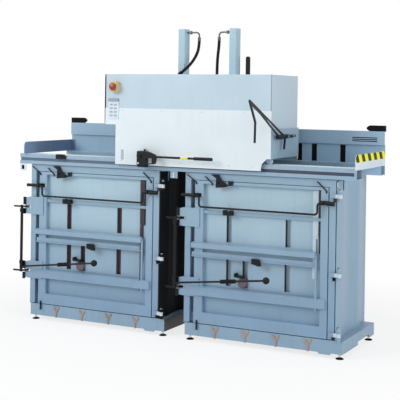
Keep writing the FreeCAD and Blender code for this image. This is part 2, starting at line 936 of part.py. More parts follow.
def build_back_wall():
    """Folded back wall with strap slots, a louvred hand recess and a lifting slot."""
    body = new_body("back_wall")
    t = size.panel_sheet
    face = size.rear_rail_back
    fold = chamber_top + size.fold_height
    top = chamber_top + size.back_height
    upper = face - size.fold_step
    left = side_panel_left
    length = rail_right + t - left
    side_pad(body, left, length, [
        (face, chamber_top), (face + t, chamber_top), (face + t, fold + t), (upper + t, fold + t),
        (upper + t, top - t), (upper + size.back_lip, top - t), (upper + size.back_lip, top),
        (upper, top), (upper, fold), (face, fold),
    ])
    slots = []
    slot_base = rail_top
    for side in SIDES:
        for offset in (-200, 30, 147, 370):
            x = module_centre(side) + offset
            slots.append(rectangle(x - size.back_slot_width / 2, x + size.back_slot_width / 2,
                                   slot_base, slot_base + size.back_slot_height * 0.85))
    front_cut(body, face - 1, t + 2, *slots)
    louvres = []
    for side in SIDES:
        start = module_centre(side) + size.base_width * 0.37
        for row in range(3):
            low = fold + 22 + (size.louvre_gap * 1.8) * row
            louvres.append(rectangle(start, start + size.louvre_width, low, low + size.louvre_gap))
    front_cut(body, upper - 1, t + 2, *louvres)
    keep(body)


def build_side_panel(side):
    """Low end panel of the feed table, with a flange to the back wall."""
    t = size.panel_sheet
    front = -size.side_panel_front
    back = size.rear_rail_back
    outward = -1 if side == "left" else 1
    inner = side_panel_left + t if side == "left" else rail_right
    drop = as_length(0) if side == "left" else size.side_panel_drop
    body = new_body(f"{side}_side_panel", x=inner, z=rail_top)
    plan_pad(body, -drop, size.side_panel_height + drop,
             [(0, front), (t * outward, front), (t * outward, back), (0, back)])
    plan_pad(body, 0, size.side_panel_height,
             [(0, back - t), (0, back), (size.side_flange * -outward, back),
              (size.side_flange * -outward, back - t)])
    round_edges(body, size.side_flange, lambda edge: runs_along(edge, Vector(1, 0, 0))
                and edge.CenterOfMass.y < front.value + 1
                and edge.CenterOfMass.z > rail_top.value + size.side_panel_height.value - 1)
    keep(body)


def build_bumpers():
    """Black rubber buffers with blunt noses, at both ends of the back wall's top lip."""
    wedges = []
    top = chamber_top + size.back_height
    y = size.rear_rail_back - size.fold_step + 3
    for side, start, inward in (("left", side_panel_left, 1), ("right", rail_right + size.panel_sheet, -1)):
        body = new_body(f"bumper_{side}", x=start, y=y, z=top)
        length = size.bumper_length
        high = size.bumper_height
        front_pad(body, 0, size.bumper_width,
                  [(0, 0), (length * 0.84 * inward, 0), (length * inward, high * 0.34),
                   (length * inward, high * 0.66), (length * 0.84 * inward, high), (0, high)])
        round_edges(body, high * 0.1, lambda edge: runs_along(edge, Vector(0, 1, 0))
                    and edge.CenterOfMass.z > top.value + 1)
        wedges.append(body)
    keep_group("end_bumpers", wedges)


def build_rail_stop():
    """Black catch on the front rail that ends the head's travel over the left chamber."""
    body = new_body("rail_stop", x=-size.stop_block_x)
    half = size.stop_block_width / 2
    low = rail_top - size.stop_block_height * 0.85
    high = low + size.stop_block_height
    front_pad(body, front_rail_face - size.stop_block_depth, size.stop_block_depth,
              [(-half, low), (half, low), (half, high - 12), (half - 14, high), (-half + 6, high),
               (-half, high - 6)],
              Ring(half * 0.35, low + size.stop_block_height * 0.5, size.stop_block_height * 0.16))
    keep(body)


# --- doors -----------------------------------------------------------------

def build_door_frame(side):
    """Welded door frame: outer frame, channel ring, cross bars, hinge straps and lock plates."""
    body = new_body(f"{side}_door_frame", x=module_centre(side))
    outer_left = -size.door_left
    outer_right = size.door_right
    t = size.door_sheet
    post = outer_left + size.door_post
    flange = outer_right - size.door_flange
    header = door_top - size.door_header
    front_pad(body, base_front, size.door_frame_depth,
              rectangle(outer_left, outer_right, door_base, door_top),
              rectangle(panel_left, panel_right, door_base + t, panel_top))
    front_cut(body, base_front, size.door_frame_depth - t,
              rectangle(post, flange, door_base - t, header))
    front_cut(body, base_front + t, size.door_frame_depth - t,
              [(outer_left + t, door_base + t), (post - t, door_base + t), (post - t, header + t),
               (flange + t, header + t), (flange + t, door_base + t), (outer_right - t, door_base + t),
               (outer_right - t, door_top - t), (outer_left + t, door_top - t)])
    front_pad(body, door_face, size.door_depth,
              rectangle(panel_left, panel_right, door_base, panel_top),
              rectangle(window_left, window_right, window_base, window_top))
    front_cut(body, door_face + t, size.door_depth - t,
              rectangle(panel_left + t, panel_right - t, door_base + t, panel_top - t),
              rectangle(window_left - t, window_right + t, window_base - t, window_top + t))
    add_door_bars(body)
    for base in hinge_bases:
        leaf = base + (size.hinge_height - size.door_knuckle) / 2
        plan_pad(body, leaf, size.door_knuckle,
                 rectangle(outer_right - size.door_flange * 0.75, hinge_x, hinge_y, base_front))
        plan_pad(body, leaf, size.door_knuckle, Ring(hinge_x, hinge_y, size.knuckle_radius))
        front_cut(body, base_front, size.door_frame_depth,
                  rectangle(outer_right - size.slit_height * 3, outer_right, base - size.slit_height, leaf))
    plan_cut(body, size.hinge_bottom, hinge_top + size.hinge_height - size.hinge_bottom,
             Ring(hinge_x, hinge_y, size.pin_radius + size.pin_clearance))
    for base in claw_bases:
        add_lock_plate(body, base + size.claw_thickness / 2)
    keep(body)


def add_door_bars(body):
    """The four cross bars and the upright tie on the front of a door."""
    t = size.door_sheet
    bar_left = -size.bar_reach_left
    wide = size.wide_bar_base
    chamfer = size.door_sheet * 2
    side_pad(body, bar_left, size.wide_bar_right - bar_left,
             [(door_face, wide), (door_face, wide + size.wide_bar_height),
              (door_face - size.wide_bar_depth, wide + size.wide_bar_height - chamfer),
              (door_face - size.wide_bar_depth, wide + chamfer)])
    angle = size.angle_bar_base
    side_pad(body, bar_left, size.wide_bar_right - bar_left,
             [(door_face, angle), (door_face, angle + size.angle_bar_height),
              (door_face - t, angle + size.angle_bar_height), (door_face - t, angle + t),
              (door_face - size.low_bar_depth, angle + t), (door_face - size.low_bar_depth, angle)])
    low = size.low_bar_base
    side_pad(body, bar_left, size.low_bar_right - bar_left,
             [(door_face, low), (door_face, low + size.low_bar_height),
              (door_face - size.low_bar_depth, low + size.low_bar_height - chamfer),
              (door_face - size.low_bar_depth, low + chamfer)])
    thin = size.thin_bar_base
    side_pad(body, window_left, window_right - window_left,
             rectangle(door_face + chamfer, skin_face, thin, thin + size.thin_bar_height))
    tie = size.tie_x
    plan_pad(body, size.tie_base, size.tie_top - size.tie_base,
             rectangle(tie - size.tie_width, tie, door_face - size.tie_width, door_face + 1))


def add_lock_plate(body, middle):
    """A plate on the door's left post with a slot for one claw of the lock."""
    slot = size.claw_slot / 2
    tip = lock_x + size.edge_strip * 0.8
    root = panel_left + size.stile_left * 0.6
    edge = -size.wall_left
    slot_end = edge + size.claw_thickness
    front_pad(body, door_face - size.bracket_plate, size.bracket_plate + size.door_stand_proud, [
        (root, middle - 58), (root, middle + 78), (edge, middle + 78), (tip, middle + 68),
        (tip, middle + slot), (slot_end, middle + slot), (slot_end, middle - slot),
        (tip, middle - slot), (tip, middle - 55), (edge, middle - 58),
    ])


def strap_slots():
    """Centres and heights of the strap slots in a door's skin."""
    upper = (size.upper_slot_base, size.upper_slot_top)
    lower = (size.lower_slot_base, size.lower_slot_top)
    return [(-266, *upper), (186, *upper), (-265, *lower), (-137, *lower), (183, *lower)]


def build_door_skin(side):
    """Sheet skin set back in the door frame, with folded strap channels."""
    body = new_body(f"{side}_door_skin", x=module_centre(side))
    t = size.door_sheet
    slot = size.strap_slot_width / 2
    openings = [rectangle(x - slot, x + slot, low, high) for x, low, high in strap_slots()]
    front_pad(body, skin_face, t,
              rectangle(window_left, window_right, window_base, window_top), *openings)
    channels = []
    for x, low, high in strap_slots():
        channels += [rectangle(x - slot - t, x + slot + t, low - t, high + t),
                     rectangle(x - slot, x + slot, low, high)]
    front_pad(body, skin_face + t, size.channel_depth - t * 2, *channels)
    troughs = [rectangle(x - slot - t, x + slot + t, low - t, high + t) for x, low, high in strap_slots()]
    front_pad(body, skin_face + size.channel_depth - t, t, *troughs)
    keep(body)


def fitting_block(label, x, face, depth, loops, z=0):
    """A small block drawn in front view and standing forward of the door."""
    body = new_body(label, x=x, z=z)
    front_pad(body, face, depth, *loops)
    return body


def build_door_fittings(side):
    """Black door hardware: bearings, bow ears, latch block, clips, catches and drop pin."""
    centre = module_centre(side)
    pieces = []
    plate_face = door_face - size.bracket_plate
    strip = size.edge_strip
    for number, base in enumerate(claw_bases):
        middle = base + size.claw_thickness / 2
        slot = size.claw_slot / 2 + size.claw_gap
        low = middle - 66 + 8 * number
        high = middle + 74
        tag = f"{side}_{number}"
        ring = size.bearing_radius
        start = base - size.bearing_height - 12 if number else base + 58
        body = new_body(f"bearing_{tag}", x=centre)
        near, far = (low, middle - slot) if number else (middle + slot, high)
        plan_pad(body, near, far - near,
                 rectangle(lock_x, lock_x + strip, plate_face - size.bracket_plate, plate_face))
        plan_pad(body, start, size.bearing_height, Ring(lock_x, lock_y, ring))
        plan_cut(body, start, size.bearing_height,
                 Ring(lock_x, lock_y, size.lock_shaft_radius + size.pin_clearance))
        pieces.append(body)
        far_strip = new_body(f"edge_strip_{tag}", x=centre)
        near, far = (middle + slot, high) if number else (low, middle - slot)
        plan_pad(far_strip, near, far - near,
                 rectangle(lock_x + 2, lock_x + strip, plate_face - size.bracket_plate, plate_face))
        pieces.append(far_strip)
    for tag, start, root in (("left", -size.bow_left - 50, -size.bow_left - 50),
                             ("right", window_right + 8, window_right + 4)):
        body = new_body(f"bow_ear_{side}_{tag}", x=centre)
        reach = size.bow_radius * 2
        side_pad(body, start, size.bow_bearing,
                 rectangle(bow_y, door_face, size.bow_height - reach, size.bow_height + reach))
        side_pad(body, start, size.bow_bearing, Ring(bow_y, size.bow_height, reach))
        side_pad(body, root, size.bow_bearing + 30,
                 rectangle(door_face - 6, door_face, size.bow_height - reach, size.bow_height + reach))
        side_cut(body, start, size.bow_bearing,
                 Ring(bow_y, size.bow_height, size.bow_radius + size.pin_clearance))
        pieces.append(body)
    ledge = size.angle_bar_base
    latch_face = door_face - size.low_bar_depth - 22
    pieces.append(fitting_block(f"latch_{side}", centre, latch_face, 22, [
        [(-62, ledge - 12), (-12, ledge - 26), (4, ledge - 26), (4, ledge - 8), (-10, ledge + 22),
         (-62, ledge + 22)]]))
    pieces.append(fitting_block(f"clip_{side}", centre - 172, skin_face - 40, 40, [
        [(-34, 0), (34, 0), (34, 12), (-22, 12), (-22, 28), (-34, 28)]], z=ledge - 124))
    bar_top = size.thin_bar_base + size.thin_bar_height
    pieces.append(fitting_block(f"bow_clip_{side}", centre - 257, door_face - 30, 38, [
        [(-35, bar_top - 22), (35, bar_top - 22), (35, bar_top + 14), (12, bar_top + 14), (12, bar_top + 4),
         (-12, bar_top + 4), (-12, bar_top + 14), (-35, bar_top + 14)]]))
    catch_face = door_face - size.catch_thickness
    w = size.catch_width
    for tag, x, below, run, drop in (("a", -600, 18, 88, 52), ("b", -452, 26, 68, 48),
                                     ("c", 400, 20, 78, 62)):
        pieces.append(fitting_block(
            f"catch_{side}_{tag}", centre + x, catch_face, size.catch_thickness,
            [[(0, 0), (w, 0), (run, -drop), (run, -drop - 14), (run - w, -drop - 14), (run - w, -drop)]],
            z=chamber_top - below))
    pieces.append(fitting_block(f"toggle_{side}", centre, door_face - 20, 20, [
        [(-395, -10), (-338, -10), (-326, -39), (-275, -73), (-278, -94), (-355, -103), (-352, -34)],
        Ring(-330, -66, 7)], z=chamber_top))
    pieces.append(fitting_block(f"toggle_link_{side}", centre, door_face - 16, 16, [
        [(-274, -88), (-258, -88), (-252, -83), (-228, -83), (-228, -51), (-258, -51), (-258, -80),
         (-274, -80)]], z=chamber_top))
    pieces.append(cylinder(f"drop_pin_{side}", size.drop_pin_radius, size.drop_pin_length,
                           centre - 500, door_face - size.drop_pin_radius, door_base - 48))
    keep_group(f"{side}_door_fittings", pieces)


def build_lever_rest(side):
    """Brown round rest on the door skin, behind the lock lever."""
    body = new_body(f"{side}_lever_rest", x=module_centre(side) - 150, y=skin_face,
                    z=size.angle_bar_base - 165, rotation=AGAINST_Y)
    radius = size.rest_disc_radius
    thick = size.rest_disc_thickness
    turn_profile(body, [(0, 0), (radius, 0), (radius, thick * 0.7), (radius - 5, thick), (0, thick)])
    keep(body)


def build_lock_shaft(side):
    """Upright lock shaft with a claw and a tail at each keeper, and the lever's hub."""
    body = new_body(f"{side}_lock_shaft", x=module_centre(side) + lock_x, y=lock_y,
                    rotation=Rotation(Vector(0, 0, 1), -size.lock_lean.value))
    plan_pad(body, size.lock_shaft_base, size.lock_shaft_length, Ring(0, 0, size.lock_shaft_radius))
    inner = size.keeper_side + size.keeper_pin_radius + 3
    outer = inner + 10
    hook = size.keeper_reach + size.keeper_pin_radius + 3
    tail = math.radians(200)
    for base in claw_bases:
        plan_pad(body, base, size.claw_thickness, [
            (-4, 9), (inner, 26), (inner, hook), (5, hook), (7, hook + 9), (outer - 4, hook + 9),
            (outer, hook + 5), (outer, 24), (8, -4)])
        plan_pad(body, base, size.claw_thickness, [
            (8 * math.sin(tail), -8 * math.cos(tail)),
            (70 * math.cos(tail) + 5 * math.sin(tail), 70 * math.sin(tail) - 5 * math.cos(tail)),
            (70 * math.cos(tail) - 5 * math.sin(tail), 70 * math.sin(tail) + 5 * math.cos(tail)),
            (-8 * math.sin(tail), 8 * math.cos(tail))])
    plan_pad(body, size.lever_base, size.lever_hub_height, Ring(0, 0, size.lever_hub_radius))
    keep(body)


def lever_rotation():
    """The lock lever points along the door, raised by its rise and turned by the lean."""
    lean = Rotation(Vector(0, 0, 1), -size.lock_lean.value)
    rise = Rotation(Vector(0, 1, 0), 90 - LEVER_RISE)
    return lean * rise


def lever_start(side):
    """Where the lever's rod leaves its hub."""
    lean = math.radians(size.lock_lean.value)
    reach = size.lever_hub_radius + size.lever_seat
    x = module_centre(side) + lock_x + reach * math.cos(lean)
    y = lock_y - reach * math.sin(lean)
    return x, y, size.lever_base + size.lever_hub_height / 2


def build_lock_lever(side):
    """Turned lock lever with its thicker grip."""
    x, y, z = lever_start(side)
    body = new_body(f"{side}_lock_lever", x=x, y=y, z=z, rotation=lever_rotation())
    start = size.lever_grip_start
    end = start + size.lever_grip_length
    turn_profile(body, [
        (0, 0), (size.lever_radius, 0), (size.lever_radius, start - 12),
        (size.lever_grip_radius, start), (size.lever_grip_radius, end),
        (size.lever_radius, end + 12), (size.lever_radius, size.lever_length), (0, size.lever_length)])
    keep(body)


def build_lock_knob(side):
    """Ball knob with a flat seat on the end of the lock lever."""
    x, y, z = lever_start(side)
    lean = math.radians(size.lock_lean.value)
    rise = math.radians(LEVER_RISE)
    along = (math.cos(rise) * math.cos(lean), -math.cos(rise) * math.sin(lean), math.sin(rise))
    reach = size.lever_length + size.knob_radius * math.sin(math.radians(KNOB_SEAT))
    ball = doc.addObject("Part::Sphere", f"{side}_lock_knob")
    ball.Label = f"{side}_lock_knob"
    ball.setExpression("Radius", size.knob_radius.formula)
    ball.Angle1 = -KNOB_SEAT
    place(ball, x + reach * along[0], y + reach * along[1], z + reach * along[2], lever_rotation())
    keep(ball)


def build_bow(side):
    """Bent bow across the door's upper panel, and its grips."""
    centre = module_centre(side)
    left = -size.bow_left
    reach = size.bow_grip_length + 53
    span = size.bow_right + size.bow_left
    legs = [(0, reach), (-90, size.bow_drop), (0, span), (90, size.bow_drop), (0, size.bow_tail)]
    label = f"{side}_bow"
    start = (centre + left - reach, bow_y, size.bow_height)
    bow = fuse(label, bent_bar(label, start, legs, size.bow_radius, size.bow_bend))
    bow.Label = label
    keep(bow)
    grips = []
    bore = size.bow_radius + size.pin_clearance
    grip = new_body(f"bow_grip_{side}_left", x=centre + left - reach, y=bow_y, z=size.bow_height)
    side_pad(grip, 0, size.bow_grip_length, Ring(0, 0, size.bow_grip_radius), Ring(0, 0, bore))
    grips.append(grip)
    end = size.bow_right + size.bow_tail - size.bow_cap_length
    cap = new_body(f"bow_grip_{side}_right", x=centre + end, y=bow_y, z=size.bow_height)
    side_pad(cap, 0, size.bow_cap_length, Ring(0, 0, size.bow_cap_radius), Ring(0, 0, bore))
    grips.append(cap)
    keep_group(f"{side}_bow_grips", grips)


# --- press head ------------------------------------------------------------

def head_body(label, x=0, y=0, z=0, rotation=None):
    """A body placed from the middle of the press plate."""
    return new_body(label, size.head_rest + x, y, z, rotation)


def cylinder_places():
    """The X of both press cylinders, from the middle of the head."""
    half = size.cylinder_spacing / 2
    return (("left", -half), ("right", half))


def build_housing():
    """Sheet housing, open below, with cut-outs for the cylinders."""
    body = head_body("head_housing")
    left = -size.head_left
    right = size.head_right
    t = size.head_sheet
    plan_pad(body, head_base, size.head_height, rectangle(left, right, head_front, head_back))
    round_edges(body, size.head_round, lambda edge: runs_along(edge, Vector(0, 0, 1)))
    plan_cut(body, head_base, size.head_height - t,
             rectangle(left + t, right - t, head_front + t, head_back - t))
    front_cut(body, head_front, size.head_round, rectangle(left, right, head_base, fold_z))
    holes = []
    half_width = size.cylinder_width / 2 + 1
    half_depth = size.cylinder_depth / 2 + 1
    for _, x in cylinder_places():
        holes.append(rectangle(x - half_width, x + half_width,
                               cylinder_y - half_depth, cylinder_y + half_depth))
    plan_cut(body, head_top - t, t, *holes)
    keep(body)


def build_front_panel():
    """Pale front panel: full width above, an apron before the front rail below."""
    body = head_body("head_front_panel")
    left = -size.head_left
    right = size.head_right
    slot_x = -size.apron_left + 50
    front_pad(body, head_front, size.head_sheet,
              [(left, fold_z), (left, head_base), (-size.apron_left, head_base),
               (-size.apron_left, apron_bottom), (right - 76, apron_bottom),
               (right - 66, apron_bottom + 50), (right - 28, cheek_bottom),
               (right, cheek_bottom), (right, fold_z)],
              rectangle(slot_x, slot_x + 24, apron_bottom + 36, apron_bottom + 110))
    plan_pad(body, apron_bottom, size.head_sheet,
             rectangle(-size.apron_left, right - 76, panel_back, panel_back + size.apron_lip))
    corner = head_front + size.head_round
    plan_pad(body, head_base, size.head_fold,
             rectangle(left, left + size.head_sheet, panel_back, corner),
             rectangle(right - size.head_sheet, right, panel_back, corner))
    keep(body)


def build_carriage():
    """Welded carriage: two cheeks, two beams, the crosshead and the roller brackets."""
    body = head_body("head_carriage")
    t = size.head_sheet
    beam_top = beam_base + size.beam_height
    start = cheek_left + t
    inside = cheek_right - t - start
    side_pad(body, cheek_left, t, cheek_outline())
    side_pad(body, start, inside,
             rectangle(panel_back, panel_back + size.front_beam_depth, beam_base, beam_top))
    side_pad(body, cheek_right - t, t, cheek_outline())
    side_pad(body, start, inside,
             rectangle(size.cheek_back - size.rear_beam_depth, size.cheek_back, beam_base, beam_top))
    half_depth = size.crosshead_depth / 2
    side_pad(body, start, inside,
             rectangle(cylinder_y - half_depth, cylinder_y + half_depth, crosshead_base, crosshead_top))
    half_width = size.cylinder_width / 2
    holes = [rectangle(x - half_width, x + half_width, cylinder_y - size.cylinder_depth / 2,
                       cylinder_y + size.cylinder_depth / 2) for _, x in cylinder_places()]
    plan_cut(body, crosshead_base, size.crosshead_height, *holes)
    for label, x, y in roller_places():
        add_roller_bracket(body, x, y, "front" in label)
    keep(body)


def add_roller_bracket(body, x, y, at_front):
    """A bent plate on a beam with the axle that one roller turns on."""
    t = size.roller_bracket
    half = size.roller_width / 2
    foot = roller_z - size.axle_radius * 1.8
    plate_back = y - half - size.roller_side_gap
    plate = plate_back - t
    if at_front:
        outline = rectangle(plate, plate_back, foot, beam_base + size.beam_height)
    else:
        outline = [(size.cheek_back, beam_base), (plate, beam_base), (plate, foot),
                   (plate_back, foot), (plate_back, beam_base + t), (size.cheek_back, beam_base + t)]
    side_pad(body, x - size.roller_bracket_width / 2, size.roller_bracket_width, outline)
    front_pad(body, plate, t + size.roller_side_gap + size.roller_width + size.axle_end,
              Ring(x, roller_z, size.axle_radius))


def cheek_outline():
    """Side view of a cheek: its upper part stands inside the housing."""
    inside = head_back - size.head_sheet - 1
    return [(panel_back, cheek_bottom), (size.cheek_back, cheek_bottom),
            (size.cheek_back, head_base), (inside, head_base), (inside, crosshead_top),
            (panel_back, crosshead_top)]


def roller_places():
    """Label, X and Y of the four rollers that carry the head."""
    front_y = -size.front_roller_y
    rear_y = size.rear_roller_y
    return (
        ("front_left_roller", -size.front_left_x, front_y),
        ("front_right_roller", size.front_roller_x, front_y),
        ("rear_left_roller", -size.rear_left_x, rear_y),
        ("rear_right_roller", size.rear_roller_x, rear_y),
    )


def build_rollers():
    """Four grooved nylon rollers that run on the rails."""
    r = size.roller_radius
    half = size.roller_width / 2
    bore = size.axle_radius + size.pin_clearance
    for label, x, y in roller_places():
        body = head_body(label, x=x, y=y, z=roller_z, rotation=ALONG_Y)
        turn_profile(body, [(bore, -half), (r * 0.5, -half), (r * 0.55, 2 - half), (r, 2 - half),
                            (r, half - 2), (r * 0.55, half - 2), (r * 0.5, half), (bore, half)])
        keep(body)


def build_cylinder(side, x):
    """Square cylinder column with a round bore and a rod gland at its foot."""
    body = head_body(f"{side}_cylinder", x=x, y=cylinder_y)
    half_width = size.cylinder_width / 2
    half_depth = size.cylinder_depth / 2
    height = cylinder_top - cylinder_base
    plan_pad(body, cylinder_base, height, rectangle(-half_width, half_width, -half_depth, half_depth))
    round_edges(body, size.cylinder_round, lambda edge: runs_along(edge, Vector(0, 0, 1)))
    plan_cut(body, cylinder_base + size.gland_length,
             height - size.gland_length - size.cylinder_cap, Ring(0, 0, size.cylinder_bore))
    plan_cut(body, cylinder_base, size.gland_length,
             Ring(0, 0, size.rod_radius + size.sliding_clearance))
    keep(body)


def build_rods():
    """Two piston rods, each with its piston, standing on the press plate."""
    rods = []
    bore = size.cylinder_bore - size.sliding_clearance
    for side, x in cylinder_places():
        body = head_body(f"rod_{side}", x=x, y=cylinder_y, z=plate_top)
        turn_profile(body, [
            (0, 0), (size.rod_radius, 0), (size.rod_radius, size.rod_length), (bore, size.rod_length),
            (bore, size.rod_length + size.piston_length), (0, size.rod_length + size.piston_length)])
        rods.append(body)
    keep_group("piston_rods", rods)


def build_press_plate():
    """Press plate with strap grooves below and a welded grid of ribs above."""
    body = head_body("press_plate", y=cylinder_y)
    half_width = size.plate_half_width
    half_depth = size.plate_depth / 2
    plan_pad(body, plate_base, size.plate_thickness,
             rectangle(-half_width, half_width, -half_depth, half_depth))
    rib = size.plate_rib
    rib_base = plate_base + size.plate_thickness
    cells = []
    columns = 6
    for number in range(columns):
        pitch = (half_width * 2 - rib) / columns
        start = -half_width + rib + pitch * number
        for row in range(2):
            low = (-half_depth + rib) if row == 0 else rib / 2
            cells.append(rectangle(start, start + pitch - rib, low, low + half_depth - rib * 1.5))
    plan_pad(body, rib_base, size.plate_rib_height,
             rectangle(-half_width, half_width, -half_depth, half_depth), *cells)
    for _, x in cylinder_places():
        plan_pad(body, rib_base, size.plate_rib_height, Ring(x, 0, size.rod_radius * 2))
    groove = size.plate_groove_width / 2
    grooves = [rectangle(x - groove, x + groove, plate_base, plate_base + size.plate_groove_depth)
               for x in (half_width * share for share in (-0.73, -0.43, -0.16, 0.16, 0.43, 0.73))]
    front_cut(body, -half_depth, half_depth * 2, *grooves)
    keep(body)


# --- hydraulics ------------------------------------------------------------

def build_fittings():
    """Elbow fittings at the cylinder tops, each with its nut and hose ferrule."""
    pieces = []
    for side, x in cylinder_places():
        inward = 1 if side == "left" else -1
        start = size.head_rest + x + (size.cylinder_width / 2) * inward
        legs = [(0, size.fitting_run), (-90, size.fitting_drop - size.ferrule_length / 2)]
        label = f"fitting_{side}"
        bar = bent_bar(label, (start, cylinder_y, fitting_height), legs, size.pipe_radius, size.fitting_bend,
                       inward)
        nut = doc.addObject("Part::Prism", f"{label}_nut")
        nut.setExpression("Circumradius", size.nut_radius.formula)
        nut.setExpression("Height", size.nut_length.formula)
        place(nut, start + 22 * inward, cylinder_y, fitting_height,
              Rotation(Vector(0, 0, 1), Vector(inward, 0, 0)))
        ferrule = cylinder(f"{label}_ferrule", size.ferrule_radius, size.ferrule_length,
                           start + size.fitting_run * inward, cylinder_y, hose_top)
        pieces.append(fuse(label, bar + [nut, ferrule]))
    return pieces


def from_sheet(length):
    """The present value of a length, read back from the spreadsheet."""
    return float(doc.Sizes.evalExpression(as_length(length).formula))


def hose_points(side, route):
    """A hose's route in space, from its ferrule down to its gland."""
    inward = 1 if side == "left" else -1
    centre = dict(cylinder_places())[side] + (size.cylinder_width / 2 + size.fitting_run) * inward
    low = from_sheet(head_top)
    span = from_sheet(hose_top) - low
    x, y = from_sheet(size.head_rest + centre), from_sheet(cylinder_y)
    return [Vector(x + dx, y + dy, low + span * share) for dx, dy, share in route]


def hose_wire(points):
    """Straight runs joined by tangent arcs, with the radii that the arcs have."""
    edges = []
    radii = []
    start = points[0]
    for before, corner, after in zip(points, points[1:], points[2:]):
        inward = (corner - before).normalize()
        outward = (after - corner).normalize()
        turn = inward.getAngle(outward)
        trim = 0.45 * min((corner - before).Length, (after - corner).Length)
        radius = trim / math.tan(turn / 2)
        first = corner - inward * trim
        last = corner + outward * trim
        bisector = (outward - inward).normalize()
        middle = corner + bisector * (radius / math.cos(turn / 2) - radius)
        edges.append(Part.LineSegment(start, first).toShape())
        edges.append(Part.Arc(first, middle, last).toShape())
        radii.append(radius)
        start = last
    edges.append(Part.LineSegment(start, points[-1]).toShape())
    return Part.Wire(edges), radii


def build_hose(side, route):
    """A hydraulic hose from its ferrule to the gland on the housing."""
    points = hose_points(side, route)
    wire, radii = hose_wire(points)
    radius = from_sheet(size.hose_radius)
    section = Part.Wire([Part.Circle(points[0], points[1] - points[0], radius).toShape()])
    tube = wire.makePipeShell([section], True, True)
    expected = math.pi * radius ** 2 * wire.Length
    if abs(tube.Volume - expected) > expected * 0.02:
        raise ValueError(f"{side} hose: volume {tube.Volume:.0f}, expected {expected:.0f}")
    print(f"{side} hose length {wire.Length:.1f} mm, bend radii", [round(r) for r in radii])
    item = doc.addObject("Part::Feature", f"{side}_hose")
    item.Label = f"{side}_hose"
    item.Shape = tube
    item.Placement = Placement()
    keep(item)


def build_glands():
    """Rubber glands on the housing top: one leans with its hose, one is upright."""
    pieces = []
    for side, route, flange_radius in (("left", LEFT_HOSE, size.left_gland_radius),
                                       ("right", RIGHT_HOSE, size.gland_radius)):
        points = hose_points(side, route)
        end = points[-1]
        heading = (points[-2] - end).normalize()
        reach = (end.z - from_sheet(head_top)) / heading.z
        foot = end - heading * (reach - 1)
        neck = cylinder(f"gland_neck_{side}", size.hose_radius + 3, reach - 1, foot.x, foot.y, foot.z,
                        Rotation(Vector(0, 0, 1), heading))
        flange = cylinder(f"gland_flange_{side}", flange_radius, 5, foot.x, foot.y, head_top)
        gland = fuse(f"gland_joined_{side}", [neck, flange])
        floor = doc.addObject("Part::Box", f"gland_floor_{side}")
        floor.setExpression("Length", (flange_radius * 2).formula)
        floor.setExpression("Width", (flange_radius * 2).formula)
        floor.setExpression("Height", "40")
        place(floor, foot.x - flange_radius, foot.y - flange_radius, head_top - 40)
        cut = doc.addObject("Part::Cut", f"gland_{side}")
        cut.Base = gland
        cut.Tool = floor
        pieces.append(cut)
    return pieces


def build_tank():
    """Oil tank on the crosshead, hidden in the housing."""
    body = head_body("oil_tank", x=-size.head_left + 110, y=cylinder_y, z=crosshead_top)
    half = size.tank_depth / 2
    plan_pad(body, 0, size.tank_height, rectangle(0, size.tank_width, -half, half))
    round_edges(body, 18, lambda edge: runs_along(edge, Vector(0, 0, 1)))
    plan_pad(body, size.tank_height, 14, Ring(size.tank_width * 0.25, half * 0.4, 24))
    keep(body)


def build_pump():
    """Electric motor with its pump, on feet on the crosshead."""
    foot = 22
    body = head_body("pump_motor", x=size.cylinder_spacing / 2 + 60, y=cylinder_y,
                     z=crosshead_top + size.motor_radius + foot, rotation=ALONG_X)
    r = size.motor_radius
    length = size.motor_length
    turn_profile(body, [
        (0, 0), (r * 0.9, 0), (r * 0.95, 45), (r * 0.95, 50), (r, 52), (r, length),
        (r * 1.05, length), (r * 1.05, length + 14), (r * 0.6, length + 18), (r * 0.6, length + 80),
        (r * 0.45, length + 84), (r * 0.45, length + 120), (0, length + 120)])
    plan_pad(body, 70, 110, rectangle(r * 0.6, r + foot, -r * 0.8, r * 0.8))
    keep(body)


def build_breather():
    """Upright black breather on the housing top."""
    body = head_body("breather", x=size.breather_x, y=cylinder_y, z=head_top)
    r = size.breather_radius
    high = size.breather_height
    turn_profile(body, [
        (0, 0), (r, 0), (r, high - 10), (r * 0.75, high - 3), (r * 0.5, high), (0, high)])
    keep(body)


# --- controls --------------------------------------------------------------

def build_control_panel():
    """Flat control panel with a raised switch bar and recessed keys."""
    left = -size.control_left
    body = head_body("control_panel", x=left, z=control_base)
    width = size.control_width
    high = size.control_height
    face = head_front - size.control_depth
    front_pad(body, face, size.control_depth, rectangle(0, width, 0, high))
    front_pad(body, face - 5, 5, rectangle(2, width - 2, high - 20, high - 3))
    keys = []
    for row in range(4):
        for column in range(2):
            x = 12 + column * 36
            z = 14 + row * 27
            keys.append(rectangle(x, x + 26, z, z + 15))
    front_cut(body, face, 2, *keys)
    keep(body)


def build_stop_base():
    """Yellow base box of the stop button."""
    body = head_body("stop_button_base", x=-size.stop_x, z=stop_z)
    half = size.stop_width / 2
    high = size.stop_height / 2
    face = head_front - size.stop_depth
    front_pad(body, face, size.stop_depth, rectangle(-half, half, -high, high))
    round_edges(body, 4, lambda edge: runs_along(edge, Vector(0, 1, 0)))
    front_cut(body, face, size.stop_depth - 6,
              Ring(0, 0, size.stop_stem_radius + size.sliding_clearance))
    keep(body)


